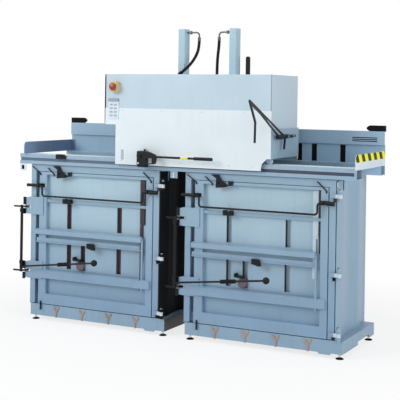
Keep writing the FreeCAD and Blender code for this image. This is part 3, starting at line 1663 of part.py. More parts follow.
def build_stop_button():
    """Red mushroom button on its stem."""
    face = head_front - size.stop_depth
    depth = 20
    body = head_body("stop_button", x=-size.stop_x, y=face + depth, z=stop_z, rotation=AGAINST_Y)
    cap = depth + size.stop_travel + 2
    stem = size.stop_stem_radius
    wide = size.stop_cap_radius
    turn_profile(body, [(0, 0), (stem, 0), (stem, cap), (wide - 4, cap), (wide, cap + 4),
                        (wide, cap + 8), (wide * 0.8, cap + 15), (wide * 0.45, cap + 19), (0, cap + 20)])
    keep(body)


def build_push_bracket():
    """Black bracket on the apron with the push lever's pivot pin and its top bolt."""
    body = head_body("push_lever_bracket", x=-size.push_x, z=push_z)
    half = size.push_block_width / 2
    low = -size.push_block_height * 0.7
    high = size.push_block_height * 0.3
    face = head_front - size.push_block_depth
    side_pad(body, -half, size.push_block_width,
             [(head_front, low), (face + 16, low), (face, low + 20), (face, high - 8), (face + 10, high),
              (head_front, high)])
    front_pad(body, face - size.push_hub_length - 4, size.push_hub_length + 8,
              Ring(0, 0, size.push_pin_radius))
    front_pad(body, face - size.push_hub_length - 6, 5, Ring(0, 0, size.push_pin_radius * 1.7))
    plan_pad(body, high - 2, size.push_bolt_height, Ring(half * 0.45, head_front - 20, size.push_pin_radius))
    keep(body)


def build_push_lever():
    """Push lever: hub, open loop, long rod and end grip."""
    face = head_front - size.push_block_depth
    thick = size.push_hub_length
    body = head_body("push_lever", x=-size.push_x, y=face - thick - 0.5, z=push_z)
    hub = size.push_hub_radius
    loop = size.push_loop_length
    web = (thick - size.push_loop_thickness) / 2
    front_pad(body, 0, thick, Ring(0, 0, hub))
    front_pad(body, web, size.push_loop_thickness,
              [(hub * 0.5, hub * 0.8), (hub * 1.5, 34), (hub * 3.8, 32), (loop - 13, 14), (loop, -2),
               (loop - 12, -53), (hub * 1.6, -60), (hub * 0.5, -hub * 0.8)],
              rectangle(*PUSH_WINDOW))
    front_cut(body, 0, thick, Ring(0, 0, size.push_pin_radius + size.pin_clearance))
    middle = thick / 2
    grip_start = loop + size.push_rod_length
    side_pad(body, loop - 8, size.push_rod_length + 8, Ring(middle, -2, size.push_rod_radius))
    side_pad(body, grip_start, size.push_grip_length, Ring(middle, -2, size.push_grip_radius))
    round_edges(body, 5, lambda edge: edge.CenterOfMass.x > body.Shape.BoundBox.XMax - 1)
    keep(body)


def build_side_bracket():
    """Black pivot bracket of the side lever on the right cheek."""
    body = head_body("side_lever_bracket", x=cheek_right, y=-size.side_pivot_y, z=side_pivot_z)
    depth = size.side_block_depth
    side_pad(body, 0, depth,
             [(-35, -14), (150, -9), (230, -9), (230, 9), (150, 9), (60, 16), (-35, 14)])
    side_pad(body, depth - 2, size.side_hub + 6, Ring(0, 0, size.side_pin_radius))
    keep(body)


def strip_outline(points, width):
    """Outline of a flat bar of one width that follows points, with mitred bends."""
    sides = ([], [])
    for index, (x, z) in enumerate(points):
        before = points[max(index - 1, 0)]
        after = points[min(index + 1, len(points) - 1)]
        headings = []
        for (x1, z1), (x2, z2) in ((before, (x, z)), ((x, z), after)):
            run = math.hypot(x2 - x1, z2 - z1)
            if run:
                headings.append(((x2 - x1) / run, (z2 - z1) / run))
        across_x = -sum(heading[1] for heading in headings) / len(headings)
        across_z = sum(heading[0] for heading in headings) / len(headings)
        stretch = across_x ** 2 + across_z ** 2
        for side, sense in zip(sides, (0.5, -0.5)):
            side.append((x + width * (sense * across_x / stretch), z + width * (sense * across_z / stretch)))
    return sides[0] + sides[1][::-1]


def build_side_lever():
    """Side lever: a clamp on the pivot, two long rods, a bent handle and a tail."""
    start = cheek_right + size.side_block_depth + 0.5
    # in this body +X points to the front of the machine and +Y to its right
    swing = Rotation(Vector(0, 0, 1), -90)
    body = head_body("side_lever", x=start, y=-size.side_pivot_y, z=side_pivot_z, rotation=swing)
    hub = size.side_hub
    rod = size.side_rod
    front_pad(body, 0, hub, [(-15, -14), (140, -14), (140, 14), (-15, 14)],
              Ring(0, 0, size.side_pin_radius + size.pin_clearance))
    middle = (hub - rod) / 2
    front_pad(body, middle, rod, strip_outline([(16, 4), (618, 252)], rod))
    front_pad(body, middle, rod, strip_outline([(126, 7), (439, 166), (614, 240)], rod))
    front_pad(body, middle, rod, strip_outline([(626, 256), (526, 110), (531, -27)], size.side_handle))
    front_pad(body, middle, rod, strip_outline([(0, -8), (18, -size.side_tail.value)], size.side_handle))
    keep(body)


# --- assembly --------------------------------------------------------------

for module_side in SIDES:
    build_base(module_side)
    build_chamber(module_side)
    build_column(module_side)
    build_door_frame(module_side)
    build_door_skin(module_side)
    build_door_fittings(module_side)
    build_lever_rest(module_side)
    build_lock_shaft(module_side)
    build_lock_lever(module_side)
    build_lock_knob(module_side)
    build_bow(module_side)
    build_side_panel(module_side)
build_feet()
build_strap_hooks()
build_hinge_pins()
build_keepers()
build_front_rail()
build_rear_rail()
build_back_wall()
build_bumpers()
build_rail_stop()
build_housing()
build_front_panel()
build_carriage()
build_rollers()
for cylinder_side, cylinder_x in cylinder_places():
    build_cylinder(cylinder_side, cylinder_x)
build_rods()
build_press_plate()
build_hose("left", LEFT_HOSE)
build_hose("right", RIGHT_HOSE)
keep_group("hose_fittings", build_fittings() + build_glands())
build_tank()
build_pump()
build_breather()
build_control_panel()
build_stop_base()
build_stop_button()
build_push_bracket()
build_push_lever()
build_side_bracket()
build_side_lever()

doc.recompute()
for item in doc.Objects:
    if "Invalid" in item.State or "Error" in item.State:
        raise RuntimeError(f"{item.Label} failed: {item.State}")
for item in subparts:
    if item.Shape.isNull() or not item.Shape.isValid():
        raise RuntimeError(f"{item.Label} has no valid shape")

os.makedirs("parts", exist_ok=True)
for item in subparts:
    item.Shape.exportStep(f"parts/{item.Label}.step")
print(f"{len(subparts)} sub-parts written")
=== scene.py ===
import math

import bmesh
import bpy
import numpy as np
from bpy.props import FloatProperty, FloatVectorProperty, PointerProperty
from mathutils import Matrix, Vector


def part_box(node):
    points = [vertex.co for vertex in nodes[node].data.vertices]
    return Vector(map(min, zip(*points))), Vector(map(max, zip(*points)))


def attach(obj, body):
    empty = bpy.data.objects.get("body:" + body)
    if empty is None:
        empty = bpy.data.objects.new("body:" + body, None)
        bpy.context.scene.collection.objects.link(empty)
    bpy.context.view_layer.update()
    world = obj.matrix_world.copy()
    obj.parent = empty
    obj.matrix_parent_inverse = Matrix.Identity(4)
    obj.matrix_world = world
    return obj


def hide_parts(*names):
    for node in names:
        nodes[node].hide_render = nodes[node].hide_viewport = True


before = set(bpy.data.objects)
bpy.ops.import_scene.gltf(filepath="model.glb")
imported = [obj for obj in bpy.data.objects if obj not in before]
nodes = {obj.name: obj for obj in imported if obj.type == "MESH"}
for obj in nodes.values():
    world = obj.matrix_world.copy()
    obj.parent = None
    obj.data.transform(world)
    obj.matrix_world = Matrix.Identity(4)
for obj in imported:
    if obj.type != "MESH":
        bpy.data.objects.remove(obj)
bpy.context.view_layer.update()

bl_info = {
    "name": "Recycling baler looks",
    "version": (1, 0, 0),
    "blender": (4, 5, 0),
    "location": "View3D > Sidebar > Baler",
    "description": "Paints, hoses, fasteners and studio for a twin-chamber recycling baler",
    "category": "Object",
}

SIDES = ("left", "right")
ACROSS, FORWARD, UP = (1, 0, 0), (0, -1, 0), (0, 0, 1)
# the front faces of the door skins and of the bars that cross them
SKIN_Y, BAR_Y = -0.325, -0.355
# the camera: place, turn in radians, and shift of the picture
CAMERA_X, CAMERA_Y = 3.531, -6.964
CAMERA_YAW, CAMERA_PITCH, CAMERA_ROLL = math.radians(26.87), math.radians(0.057), 0.0148
CAMERA_SHIFT = -0.255
# the lamps: where each one stands and how wide it is; all of them face the machine's middle
LAMPS = {"key": ((-4.2, -6.2, 4.4), 3.6), "fill": ((7.2, -2.6, 3.0), 3.6), "top": ((0.0, -0.6, 5.6), 5.0)}
MACHINE_MIDDLE = (0, 0, 1.0)


def module_centre(side):
    """The X of a module's middle, halfway between its base's two ends."""
    low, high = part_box(f"{side}_base")
    return (low.x + high.x) / 2


CENTRE = {side: module_centre(side) for side in SIDES}


def linear(text):
    """An sRGB hex colour as linear red, green, blue and alpha."""
    shares = [int(text[i:i + 2], 16) / 255 for i in (1, 3, 5)]
    return [s / 12.92 if s <= 0.04045 else ((s + 0.055) / 1.055) ** 2.4 for s in shares] + [1.0]


# strap channels of a door skin: offset from the module's middle, low end and high end
CHANNELS = ((-0.266, 0.7225, 0.9165), (0.186, 0.7225, 0.9165), (-0.265, 0.4125, 0.6095),
            (-0.137, 0.4125, 0.6095), (0.183, 0.4125, 0.6095))


# --- settings ---------------------------------------------------------------

def paint(label, words, text):
    """A colour that the user can change, from its sRGB hex value."""
    return FloatVectorProperty(name=label, description=words, subtype="COLOR", size=4,
                               min=0.0, max=1.0, default=linear(text))


def span(label, words, value):
    """A length in metres that the user can change."""
    return FloatProperty(name=label, description=words, default=value, unit="LENGTH", min=0.0)


def watts(label, words, value):
    """A lamp's power that the user can change."""
    return FloatProperty(name=label, description=words, default=value, unit="POWER", min=0.0)


class BalerPaints(bpy.types.PropertyGroup):
    """Colours of the machine's paints, plastics and metals."""
    # the frame, door and skin blues are one paint: their lighter and darker tones are painted light and shade
    frame_blue: paint("Frame blue", "Powder coat of the bases, chambers and right column", "#88a4ba")
    door_blue: paint("Door blue", "Powder coat of the door frames and their bars", "#8eaabe")
    skin_blue: paint("Skin blue", "Powder coat of the door skins", "#a6c1d0")
    head_blue: paint("Head blue", "Powder coat of the press head's housing", "#b7cbd8")
    cylinder_blue: paint("Cylinder blue", "Enamel of the press cylinders", "#a0bccc")
    panel_pale: paint("Pale panel", "Powder coat of the front panel", "#d8e3e9")
    # the brown of the strap channels is painted shade
    slot_shade_brown: paint("Slot brown", "Inside of the strap channels", "#675b61")
    black: paint("Black enamel", "Paint of the levers, bows and door fittings", "#131419")
    rubber: paint("Rubber", "Bumpers, pads, flaps and hoses", "#101013")
    warning_yellow: paint("Warning yellow", "Yellow of the hazard stripe", "#ecec26")
    stop_red: paint("Stop red", "Cap of the stop button", "#8f2a1c")
    stop_yellow: paint("Stop yellow", "Box of the stop button", "#d3bd7a")
    rest_brown: paint("Rest brown", "Round rest behind the lock lever", "#5b5158")
    zinc: paint("Zinc", "Plated bolts, pins and stems", "#c3ccd2")
    hook_bronze: paint("Hook bronze", "Passivated strap hooks", "#a58a78")


class BalerSizes(bpy.types.PropertyGroup):
    """Sizes of the pieces that are added to the frame."""
    hose_diameter: span("Hose diameter", "Outside of the pressure hoses", 0.022)
    bolt_flats: span("Bolt flats", "Width across the flats of a hex bolt", 0.017)
    screw_head: span("Screw head", "Diameter of a pan-head screw", 0.009)
    bead_radius: span("Bead radius", "Radius of a weld bead", 0.003)
    flap_thickness: span("Flap thickness", "Rubber flap behind a wall slot", 0.002)
    stop_cap: span("Stop cap", "Diameter of the stop button's cap", 0.056)
    tape_length: span("Tape length", "Yellow tape on the push lever", 0.058)


class BalerStudio(bpy.types.PropertyGroup):
    """Camera and lamps."""
    lens: FloatProperty(name="Lens", description="Focal length in mm", default=92.6, min=10.0, unit="CAMERA")
    camera_height: span("Camera height", "Height of the camera above the floor", 1.759)
    key_power: watts("Key power", "Power of the large front lamp", 300.0)
    fill_power: watts("Fill power", "Power of the lamp on the right", 205.0)
    top_power: watts("Top power", "Power of the overhead lamp", 95.0)
    room_light: FloatProperty(name="Room light", description="Strength of the pale room", default=0.36)


# --- surfaces ---------------------------------------------------------------

def mesh_piece(name, patches, material, body):
    """Joins grids of points into one mesh: each grid's neighbours u, u+1 and v, v+1 make a face.

    A patch is an array (rows, columns, 3) whose columns go round and close on themselves.
    Points that meet, at a pole or a seam, are merged, and the faces are turned outwards.
    """
    points, faces, start = [], [], 0
    for patch in patches:
        rows, columns = patch.shape[:2]
        index = start + np.arange(rows * columns).reshape(rows, columns)
        after = np.roll(index, -1, axis=1)
        faces.append(np.stack([index[:-1], after[:-1], after[1:], index[1:]], axis=-1).reshape(-1, 4))
        points.append(patch.reshape(-1, 3))
        start += rows * columns
    mesh = bpy.data.meshes.new(name)
    mesh.from_pydata(np.concatenate(points).tolist(), [], np.concatenate(faces).tolist())
    work = bmesh.new()
    work.from_mesh(mesh)
    bmesh.ops.remove_doubles(work, verts=work.verts, dist=1e-6)
    bmesh.ops.recalc_face_normals(work, faces=work.faces)
    work.to_mesh(mesh)
    work.free()
    mesh.shade_smooth()
    mesh.set_sharp_from_angle(angle=math.radians(32))
    piece = bpy.data.objects.new(name, mesh)
    bpy.context.scene.collection.objects.link(piece)
    mesh.materials.append(material)
    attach(piece, body)
    return piece


def axes_round(axis):
    """Two unit directions square to the axis and to each other."""
    axis = np.array(axis, float)
    axis /= np.linalg.norm(axis)
    side = np.cross(axis, (0.0, 0.0, 1.0) if abs(axis[2]) < 0.9 else (1.0, 0.0, 0.0))
    side /= np.linalg.norm(side)
    return axis, side, np.cross(axis, side)


def turned(profile, centre, axis, columns=24, flats=0):
    """A profile (radius r, height h) carried round an axis: p = centre + h a + r f(t) (cos t b + sin t c).

    f(t) is 1 for a round piece; for a piece with n flats it is cos(pi/n) / cos((t mod 2 pi/n) - pi/n),
    so that r is the distance to a corner.
    """
    axis, first, second = axes_round(axis)
    radius, height = np.array(profile, float).T
    angle = np.linspace(0, 2 * math.pi, columns, endpoint=False)
    factor = np.ones(columns)
    if flats:
        step = 2 * math.pi / flats
        factor = math.cos(step / 2) / np.cos(angle % step - step / 2)
    across = np.cos(angle)[:, None] * first + np.sin(angle)[:, None] * second
    return (np.array(centre, float) + height[:, None, None] * axis
            + (radius[:, None] * factor)[:, :, None] * across)


def tube_along(start, end, radius, ripple=0.0, pitch=0.004, columns=10):
    """A straight bead from start to end with the radius r(s) = radius (1 + ripple cos(2 pi s / pitch)).

    Its ends are round: r is scaled by sqrt(1 - (1 - d / radius)^2) at a distance d from an end.
    """
    start, end = np.array(start, float), np.array(end, float)
    length = np.linalg.norm(end - start)
    along = np.linspace(0, length, max(6, int(length / pitch * 6)))
    cap = np.sqrt(np.clip(1 - np.clip(1 - np.minimum(along, length - along) / radius, 0, 1) ** 2, 0, 1))
    swell = radius * cap * (1 + ripple * np.cos(2 * math.pi * along / pitch))
    return turned(np.stack([swell, along], axis=1), start, end - start, columns)


def tablet(centre, half_width, half_height, depth, across, up, corner=6.0, crown=0.25, columns=32):
    """A crowned plate with a superellipse outline |x/a|^n + |y/b|^n = 1, standing out of a face.

    Its rows run from the back's middle out to the edge, up the rim and over the crown to the middle. Over
    the crown, for s from 0 to pi/2, the outline's scale is 1 - 0.12 sin(s) and its height is the depth
    times 1 - crown cos(s).
    """
    across, up = np.array(across, float), np.array(up, float)
    out = np.cross(across, up)
    angle = np.linspace(0, 2 * math.pi, columns, endpoint=False)
    cos, sin = np.cos(angle), np.sin(angle)
    reach = (np.abs(cos) ** corner + np.abs(sin) ** corner) ** (-1 / corner)
    bend = np.linspace(0, math.pi / 2, 6)
    shrink = np.concatenate([[0, 1, 1], 1 - 0.12 * np.sin(bend[1:]), [0]])
    height = np.concatenate([[0, 0, 1 - crown], 1 - crown * np.cos(bend[1:]), [1]]) * depth
    flat = (half_width * cos * reach)[:, None] * across + (half_height * sin * reach)[:, None] * up
    return (np.array(centre, float) + shrink[:, None, None] * flat + height[:, None, None] * out)


def hex_bolt(centre, axis, flats):
    """Washer and hex head with its chamfer: two turned profiles, the head's carried round six flats."""
    corner = flats / 2 / math.cos(math.pi / 6)
    height = flats * 0.38
    washer = turned([(0, 0), (flats * 0.58, 0), (flats * 0.58, flats * 0.08), (0, flats * 0.08)],
                    centre, axis, 20)
    head = turned([(0, flats * 0.05), (corner, flats * 0.05), (corner, height * 0.86),
                   (corner * 0.93, height), (0, height)], centre, axis, 24, 6)
    return [washer, head]


def pan_screw(centre, axis, width):
    """A pan head with a shallow round socket: a turned profile that falls back into its middle."""
    r = width / 2
    return [turned([(0, 0), (r, 0), (r, r * 0.35), (r * 0.86, r * 0.72), (r * 0.55, r * 0.85),
                    (r * 0.42, r * 0.85), (r * 0.40, r * 0.35), (0, r * 0.35)], centre, axis, 18)]


# --- materials --------------------------------------------------------------

def add(tree, kind, sockets=None, give=0, **settings):
    """Adds one node, sets its properties, fills or links its sockets, and returns one of its outputs."""
    made = tree.nodes.new(kind)
    for name, value in settings.items():
        setattr(made, name, value)
    for name, value in (sockets or {}).items():
        if isinstance(value, bpy.types.NodeSocket):
            tree.links.new(value, made.inputs[name])
        else:
            made.inputs[name].default_value = value
    return made.outputs[give] if made.outputs else made


def inside(tree, place, low, high):
    """1 where the point lies in the box from low to high: the largest of |p - middle| / half is under 1."""
    low, high = Vector(low), Vector(high)
    offset = add(tree, "ShaderNodeVectorMath", {0: place, 1: (low + high) / 2}, operation="SUBTRACT")
    ratio = add(tree, "ShaderNodeVectorMath", {0: offset, 1: (high - low) / 2}, operation="DIVIDE")
    size = add(tree, "ShaderNodeVectorMath", {0: ratio}, operation="ABSOLUTE")
    x = add(tree, "ShaderNodeSeparateXYZ", {0: size})
    widest = add(tree, "ShaderNodeMath", {0: x, 1: x.node.outputs[1]}, operation="MAXIMUM")
    widest = add(tree, "ShaderNodeMath", {0: widest, 1: x.node.outputs[2]}, operation="MAXIMUM")
    return add(tree, "ShaderNodeMath", {0: widest, 1: 1.0}, operation="LESS_THAN")


def diagonal_stripes(first, second, width, lean, start):
    """Stripes in the plane of Y and Z: where the fraction of (y + lean z - start) / width is over a half,
    the second colour.
    """
    def colours(tree, place):
        y = add(tree, "ShaderNodeSeparateXYZ", {0: place}, "Y")
        slant = add(tree, "ShaderNodeMath", {0: y.node.outputs["Z"], 1: lean, 2: y}, operation="MULTIPLY_ADD")
        cell = add(tree, "ShaderNodeMath", {0: slant, 1: 1 / width, 2: -start / width},
                   operation="MULTIPLY_ADD")
        share = add(tree, "ShaderNodeMath", {0: cell}, operation="FRACT")
        pick = add(tree, "ShaderNodeMath", {0: share, 1: 0.5}, operation="GREATER_THAN")
        return add(tree, "ShaderNodeMix", {0: pick, 6: first, 7: second}, 2, data_type="RGBA")
    return colours


def finish(name, colour, roughness, metallic=0.0, ior=1.5, grain=0.006, relief=0.0002, cloud=0.05,
           streak=0.0, edge_highlight=0.0, edge_highlight_colour=None, low=None, zones=(), coat=0.0, gloss=0.5):
    """A surface finish: mottled colour, a fine relief, streaks, a painted highlight on the edges, painted
    shade near the floor and zones.

    grain is the spacing of the relief and relief its height, in metres. edge_highlight is how far the edges
    turn to the edge highlight colour, a painted highlight.
    low is the colour of the painted shade at the foot. A zone is a box in the row frame with a colour, or
    with a function that gives one.
    """
    material = bpy.data.materials.new(name)
    material.use_nodes = True
    tree = material.node_tree
    tree.nodes.clear()
    place = add(tree, "ShaderNodeTexCoord", give="Object")
    # soft clouds, about 0.4 m across, as a coat shows in raking light
    clouds = add(tree, "ShaderNodeTexNoise", {"Vector": place, "Scale": 2.5, "Detail": 3.0}, "Fac")
    shade = add(tree, "ShaderNodeMapRange", {"Value": clouds, "From Min": 0.3, "From Max": 0.7,
                                             "To Min": 1 - cloud, "To Max": 1 + cloud * 0.6})
    if streak:
        stretched = add(tree, "ShaderNodeMapping", {"Vector": place, "Scale": (14.0, 14.0, 1.1)})
        lines = add(tree, "ShaderNodeTexNoise", {"Vector": stretched, "Scale": 2.0, "Detail": 4.0}, "Fac")
        lines = add(tree, "ShaderNodeMapRange", {"Value": lines, "From Min": 0.52, "From Max": 0.75,
                                                 "To Min": 1.0, "To Max": 1 - streak})
        shade = add(tree, "ShaderNodeMath", {0: shade, 1: lines}, operation="MULTIPLY")
    base = tuple(colour[:3])
    if low:
        # painted shade: the coat turns darker and bluer more and more towards the foot
        height = add(tree, "ShaderNodeSeparateXYZ", {0: place}, "Z")
        share = add(tree, "ShaderNodeMapRange", {"Value": height, "From Min": 0.2, "From Max": 0.95})
        base = add(tree, "ShaderNodeMix", {0: share, 6: low, 7: tuple(colour)}, 2, data_type="RGBA")
    tint = add(tree, "ShaderNodeVectorMath", {0: base, "Scale": shade}, operation="SCALE")
    if edge_highlight:
        # painted highlight on the edges: the rounded normal leaves the true one there
        true = add(tree, "ShaderNodeNewGeometry", give="Normal")
        soft = add(tree, "ShaderNodeBevel", {"Radius": 0.004}, samples=4)
        match = add(tree, "ShaderNodeVectorMath", {0: soft, 1: true}, "Value", operation="DOT_PRODUCT")
        edge = add(tree, "ShaderNodeMapRange", {"Value": match, "From Min": 0.995, "From Max": 0.86,
                                                "To Min": 0.0, "To Max": edge_highlight})
        tint = add(tree, "ShaderNodeMix", {0: edge, 6: tint, 7: edge_highlight_colour}, 2, data_type="RGBA")
    for near, far, other in zones:
        other = other(tree, place) if callable(other) else tuple(other)
        mask = inside(tree, place, near, far)
        tint = add(tree, "ShaderNodeMix", {0: mask, 6: tint, 7: other}, 2, data_type="RGBA")
    fine = add(tree, "ShaderNodeTexNoise", {"Vector": place, "Scale": 1 / grain, "Detail": 2.0}, "Fac")
    bump = add(tree, "ShaderNodeBump", {"Height": fine, "Strength": 0.35, "Distance": relief})
    rough = add(tree, "ShaderNodeMapRange", {"Value": clouds, "From Min": 0.3, "From Max": 0.7,
                                             "To Min": roughness - 0.05, "To Max": roughness + 0.06})
    shader = add(tree, "ShaderNodeBsdfPrincipled", {
        "Base Color": tint, "Roughness": rough, "Metallic": metallic, "IOR": ior, "Normal": bump,
        "Specular IOR Level": gloss, "Coat Weight": coat, "Coat Roughness": 0.2})
    add(tree, "ShaderNodeOutputMaterial", {"Surface": shader})
    return material


def dress(material, *names):
    """Gives the material to CAD nodes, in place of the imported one."""
    for name in names:
        mesh = nodes[name].data
        mesh.materials.clear()
        mesh.materials.append(material)


def powder_coat(name, colour, zones=(), edge_highlight=0.35, streak=0.05, low=None, gloss=0.5):
    """Powder coat baked on sheet steel: a soft satin sheen, and orange peel that breaks up its highlights.

    The peel's grains are about 2 mm apart, and are drawn 5 mm apart so that they show.
    """
    colour = tuple(colour)
    # the painted highlight on the edges is the coat's colour made paler
    edge_highlight_colour = tuple(min(1.0, c * 1.35 + 0.03) for c in colour[:3]) + (1.0,)
    return finish(name, colour, 0.42, grain=0.005, relief=0.00025, cloud=0.06, streak=streak,
                  edge_highlight=edge_highlight, edge_highlight_colour=edge_highlight_colour, low=low, zones=zones, gloss=gloss)


# --- operators --------------------------------------------------------------

class BalerStage(bpy.types.Operator):
    """Makes the camera, the lamps, the pale room and the floor."""
    bl_idname = "baler.stage"
    bl_label = "Studio"

    def execute(self, context):
        scene = context.scene
        studio = scene.baler_studio
        flat = math.cos(CAMERA_PITCH)
        forward = Vector((-math.sin(CAMERA_YAW) * flat, math.cos(CAMERA_YAW) * flat, -math.sin(CAMERA_PITCH)))
        level = Vector((math.cos(CAMERA_YAW), math.sin(CAMERA_YAW), 0))
        right = level * math.cos(CAMERA_ROLL) + level.cross(forward) * math.sin(CAMERA_ROLL)
        up = right.cross(forward)
        data = bpy.data.cameras.new("camera")
        data.lens, data.sensor_width = studio.lens, 36.0
        data.shift_y = CAMERA_SHIFT
        camera = bpy.data.objects.new("camera", data)
        turn = Matrix((right, up, -forward)).transposed().to_4x4()
        camera.matrix_world = Matrix.Translation((CAMERA_X, CAMERA_Y, studio.camera_height)) @ turn
        scene.collection.objects.link(camera)
        scene.camera = camera
        for name, (where, width) in LAMPS.items():
            lamp = bpy.data.lights.new(name, "AREA")
            lamp.energy, lamp.size = getattr(studio, f"{name}_power"), width
            holder = bpy.data.objects.new(name, lamp)
            holder.location = where
            aim = Vector(MACHINE_MIDDLE) - Vector(where)
            holder.rotation_euler = aim.to_track_quat("-Z", "Y").to_euler()
            scene.collection.objects.link(holder)
        self.room(scene, studio)
        self.floor(scene)
        scene.view_settings.view_transform = "Standard"
        return {"FINISHED"}

    def seen(self, tree):
        """1 for rays that show the background: camera, glossy and transmission rays."""
        camera = add(tree, "ShaderNodeLightPath", give="Is Camera Ray")
        glossy = camera.node.outputs["Is Glossy Ray"]
        through = camera.node.outputs["Is Transmission Ray"]
        most = add(tree, "ShaderNodeMath", {0: camera, 1: glossy}, operation="MAXIMUM")
        return add(tree, "ShaderNodeMath", {0: most, 1: through}, operation="MAXIMUM")

    def room(self, scene, studio):
        """A plain white room: strength 1 where it is seen, and the room light on the object."""
        world = scene.world or bpy.data.worlds.new("room")
        scene.world = world
        world.use_nodes = True
        tree = world.node_tree
        tree.nodes.clear()
        strength = add(tree, "ShaderNodeMapRange", {"Value": self.seen(tree), "To Min": studio.room_light,
                                                    "To Max": 1.0})
        surface = add(tree, "ShaderNodeBackground", {"Color": (1.0, 1.0, 1.0, 1.0), "Strength": strength})
        add(tree, "ShaderNodeOutputWorld", {"Surface": surface})

    def floor(self, scene):
        """A wide pale floor that keeps the soft shadow near the machine and turns plain white further out."""
        reach = 60.0
        mesh = bpy.data.meshes.new("floor")
        mesh.from_pydata([(-reach, -reach, 0), (reach, -reach, 0), (reach, reach, 0), (-reach, reach, 0)],
                         [], [(0, 1, 2, 3)])
        floor = bpy.data.objects.new("floor", mesh)
        scene.collection.objects.link(floor)
        material = bpy.data.materials.new("pale_floor")
        material.use_nodes = True
        tree = material.node_tree
        tree.nodes.clear()
        place = add(tree, "ShaderNodeTexCoord", give="Object")
        distance = add(tree, "ShaderNodeVectorMath", {0: place}, "Value", operation="LENGTH")
        far = add(tree, "ShaderNodeMapRange", {"Value": distance, "From Min": 1.5, "From Max": 3.0,
                                               "To Min": 0.78, "To Max": 1.0})
        shown = add(tree, "ShaderNodeMath", {0: far, 1: self.seen(tree)}, operation="MULTIPLY")
        matt = add(tree, "ShaderNodeBsdfDiffuse", {"Color": linear("#f4f5f6")})
        white = add(tree, "ShaderNodeEmission", {"Color": (1.0, 1.0, 1.0, 1.0), "Strength": 1.0})
        surface = add(tree, "ShaderNodeMixShader", {0: shown, 1: matt, 2: white})
        add(tree, "ShaderNodeOutputMaterial", {"Surface": surface})
        mesh.materials.append(material)


class BalerHoses(bpy.types.Operator):
    """Makes the two pressure hoses from the ferrules down into the housing's glands."""
    bl_idname = "baler.hoses"
    bl_label = "Pressure hoses"

    routes = {
        "left": (0.2804, ((0.028, -0.075, 2.18), (0.026, -0.076, 2.13338), (0.016, -0.084, 2.08417),
                          (-0.006, -0.102, 2.03237), (-0.035, -0.127, 1.98446), (-0.075, -0.153, 1.94302))),
        "right": (0.2518, ((0.194, -0.075, 2.18), (0.192, -0.075, 2.13338), (0.185, -0.075, 2.0764),
                           (0.1805, -0.075, 2.02072), (0.179, -0.075, 1.92877))),
    }

    def execute(self, context):
        width = context.scene.baler_sizes.hose_diameter
        # nitrile rubber over wire braid, cured in wrapped cloth: matt black with the cloth's fine mark
        cover = finish("wrapped_hose_rubber", context.scene.baler_paints.rubber, 0.6, grain=0.004,
                       relief=0.0006, cloud=0.2, gloss=0.15)
        for side, (length, points) in self.routes.items():
            curve = bpy.data.curves.new(f"{side}_pressure_hose", "CURVE")
            curve.dimensions = "3D"
            curve.bevel_depth = width / 2
            curve.bevel_resolution = 6
            curve.use_fill_caps = True
            spline = curve.splines.new("NURBS")
            spline.points.add(len(points) - 1)
            for knot, point in zip(spline.points, points):
                knot.co = (*point, 1.0)
            spline.order_u = 3
            spline.use_endpoint_u = True
            spline.resolution_u = 16
            curve.materials.append(cover)
            hose = bpy.data.objects.new(f"{side}_pressure_hose", curve)
            context.scene.collection.objects.link(hose)
            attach(hose, "press_head")
            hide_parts(f"{side}_hose")
        return {"FINISHED"}


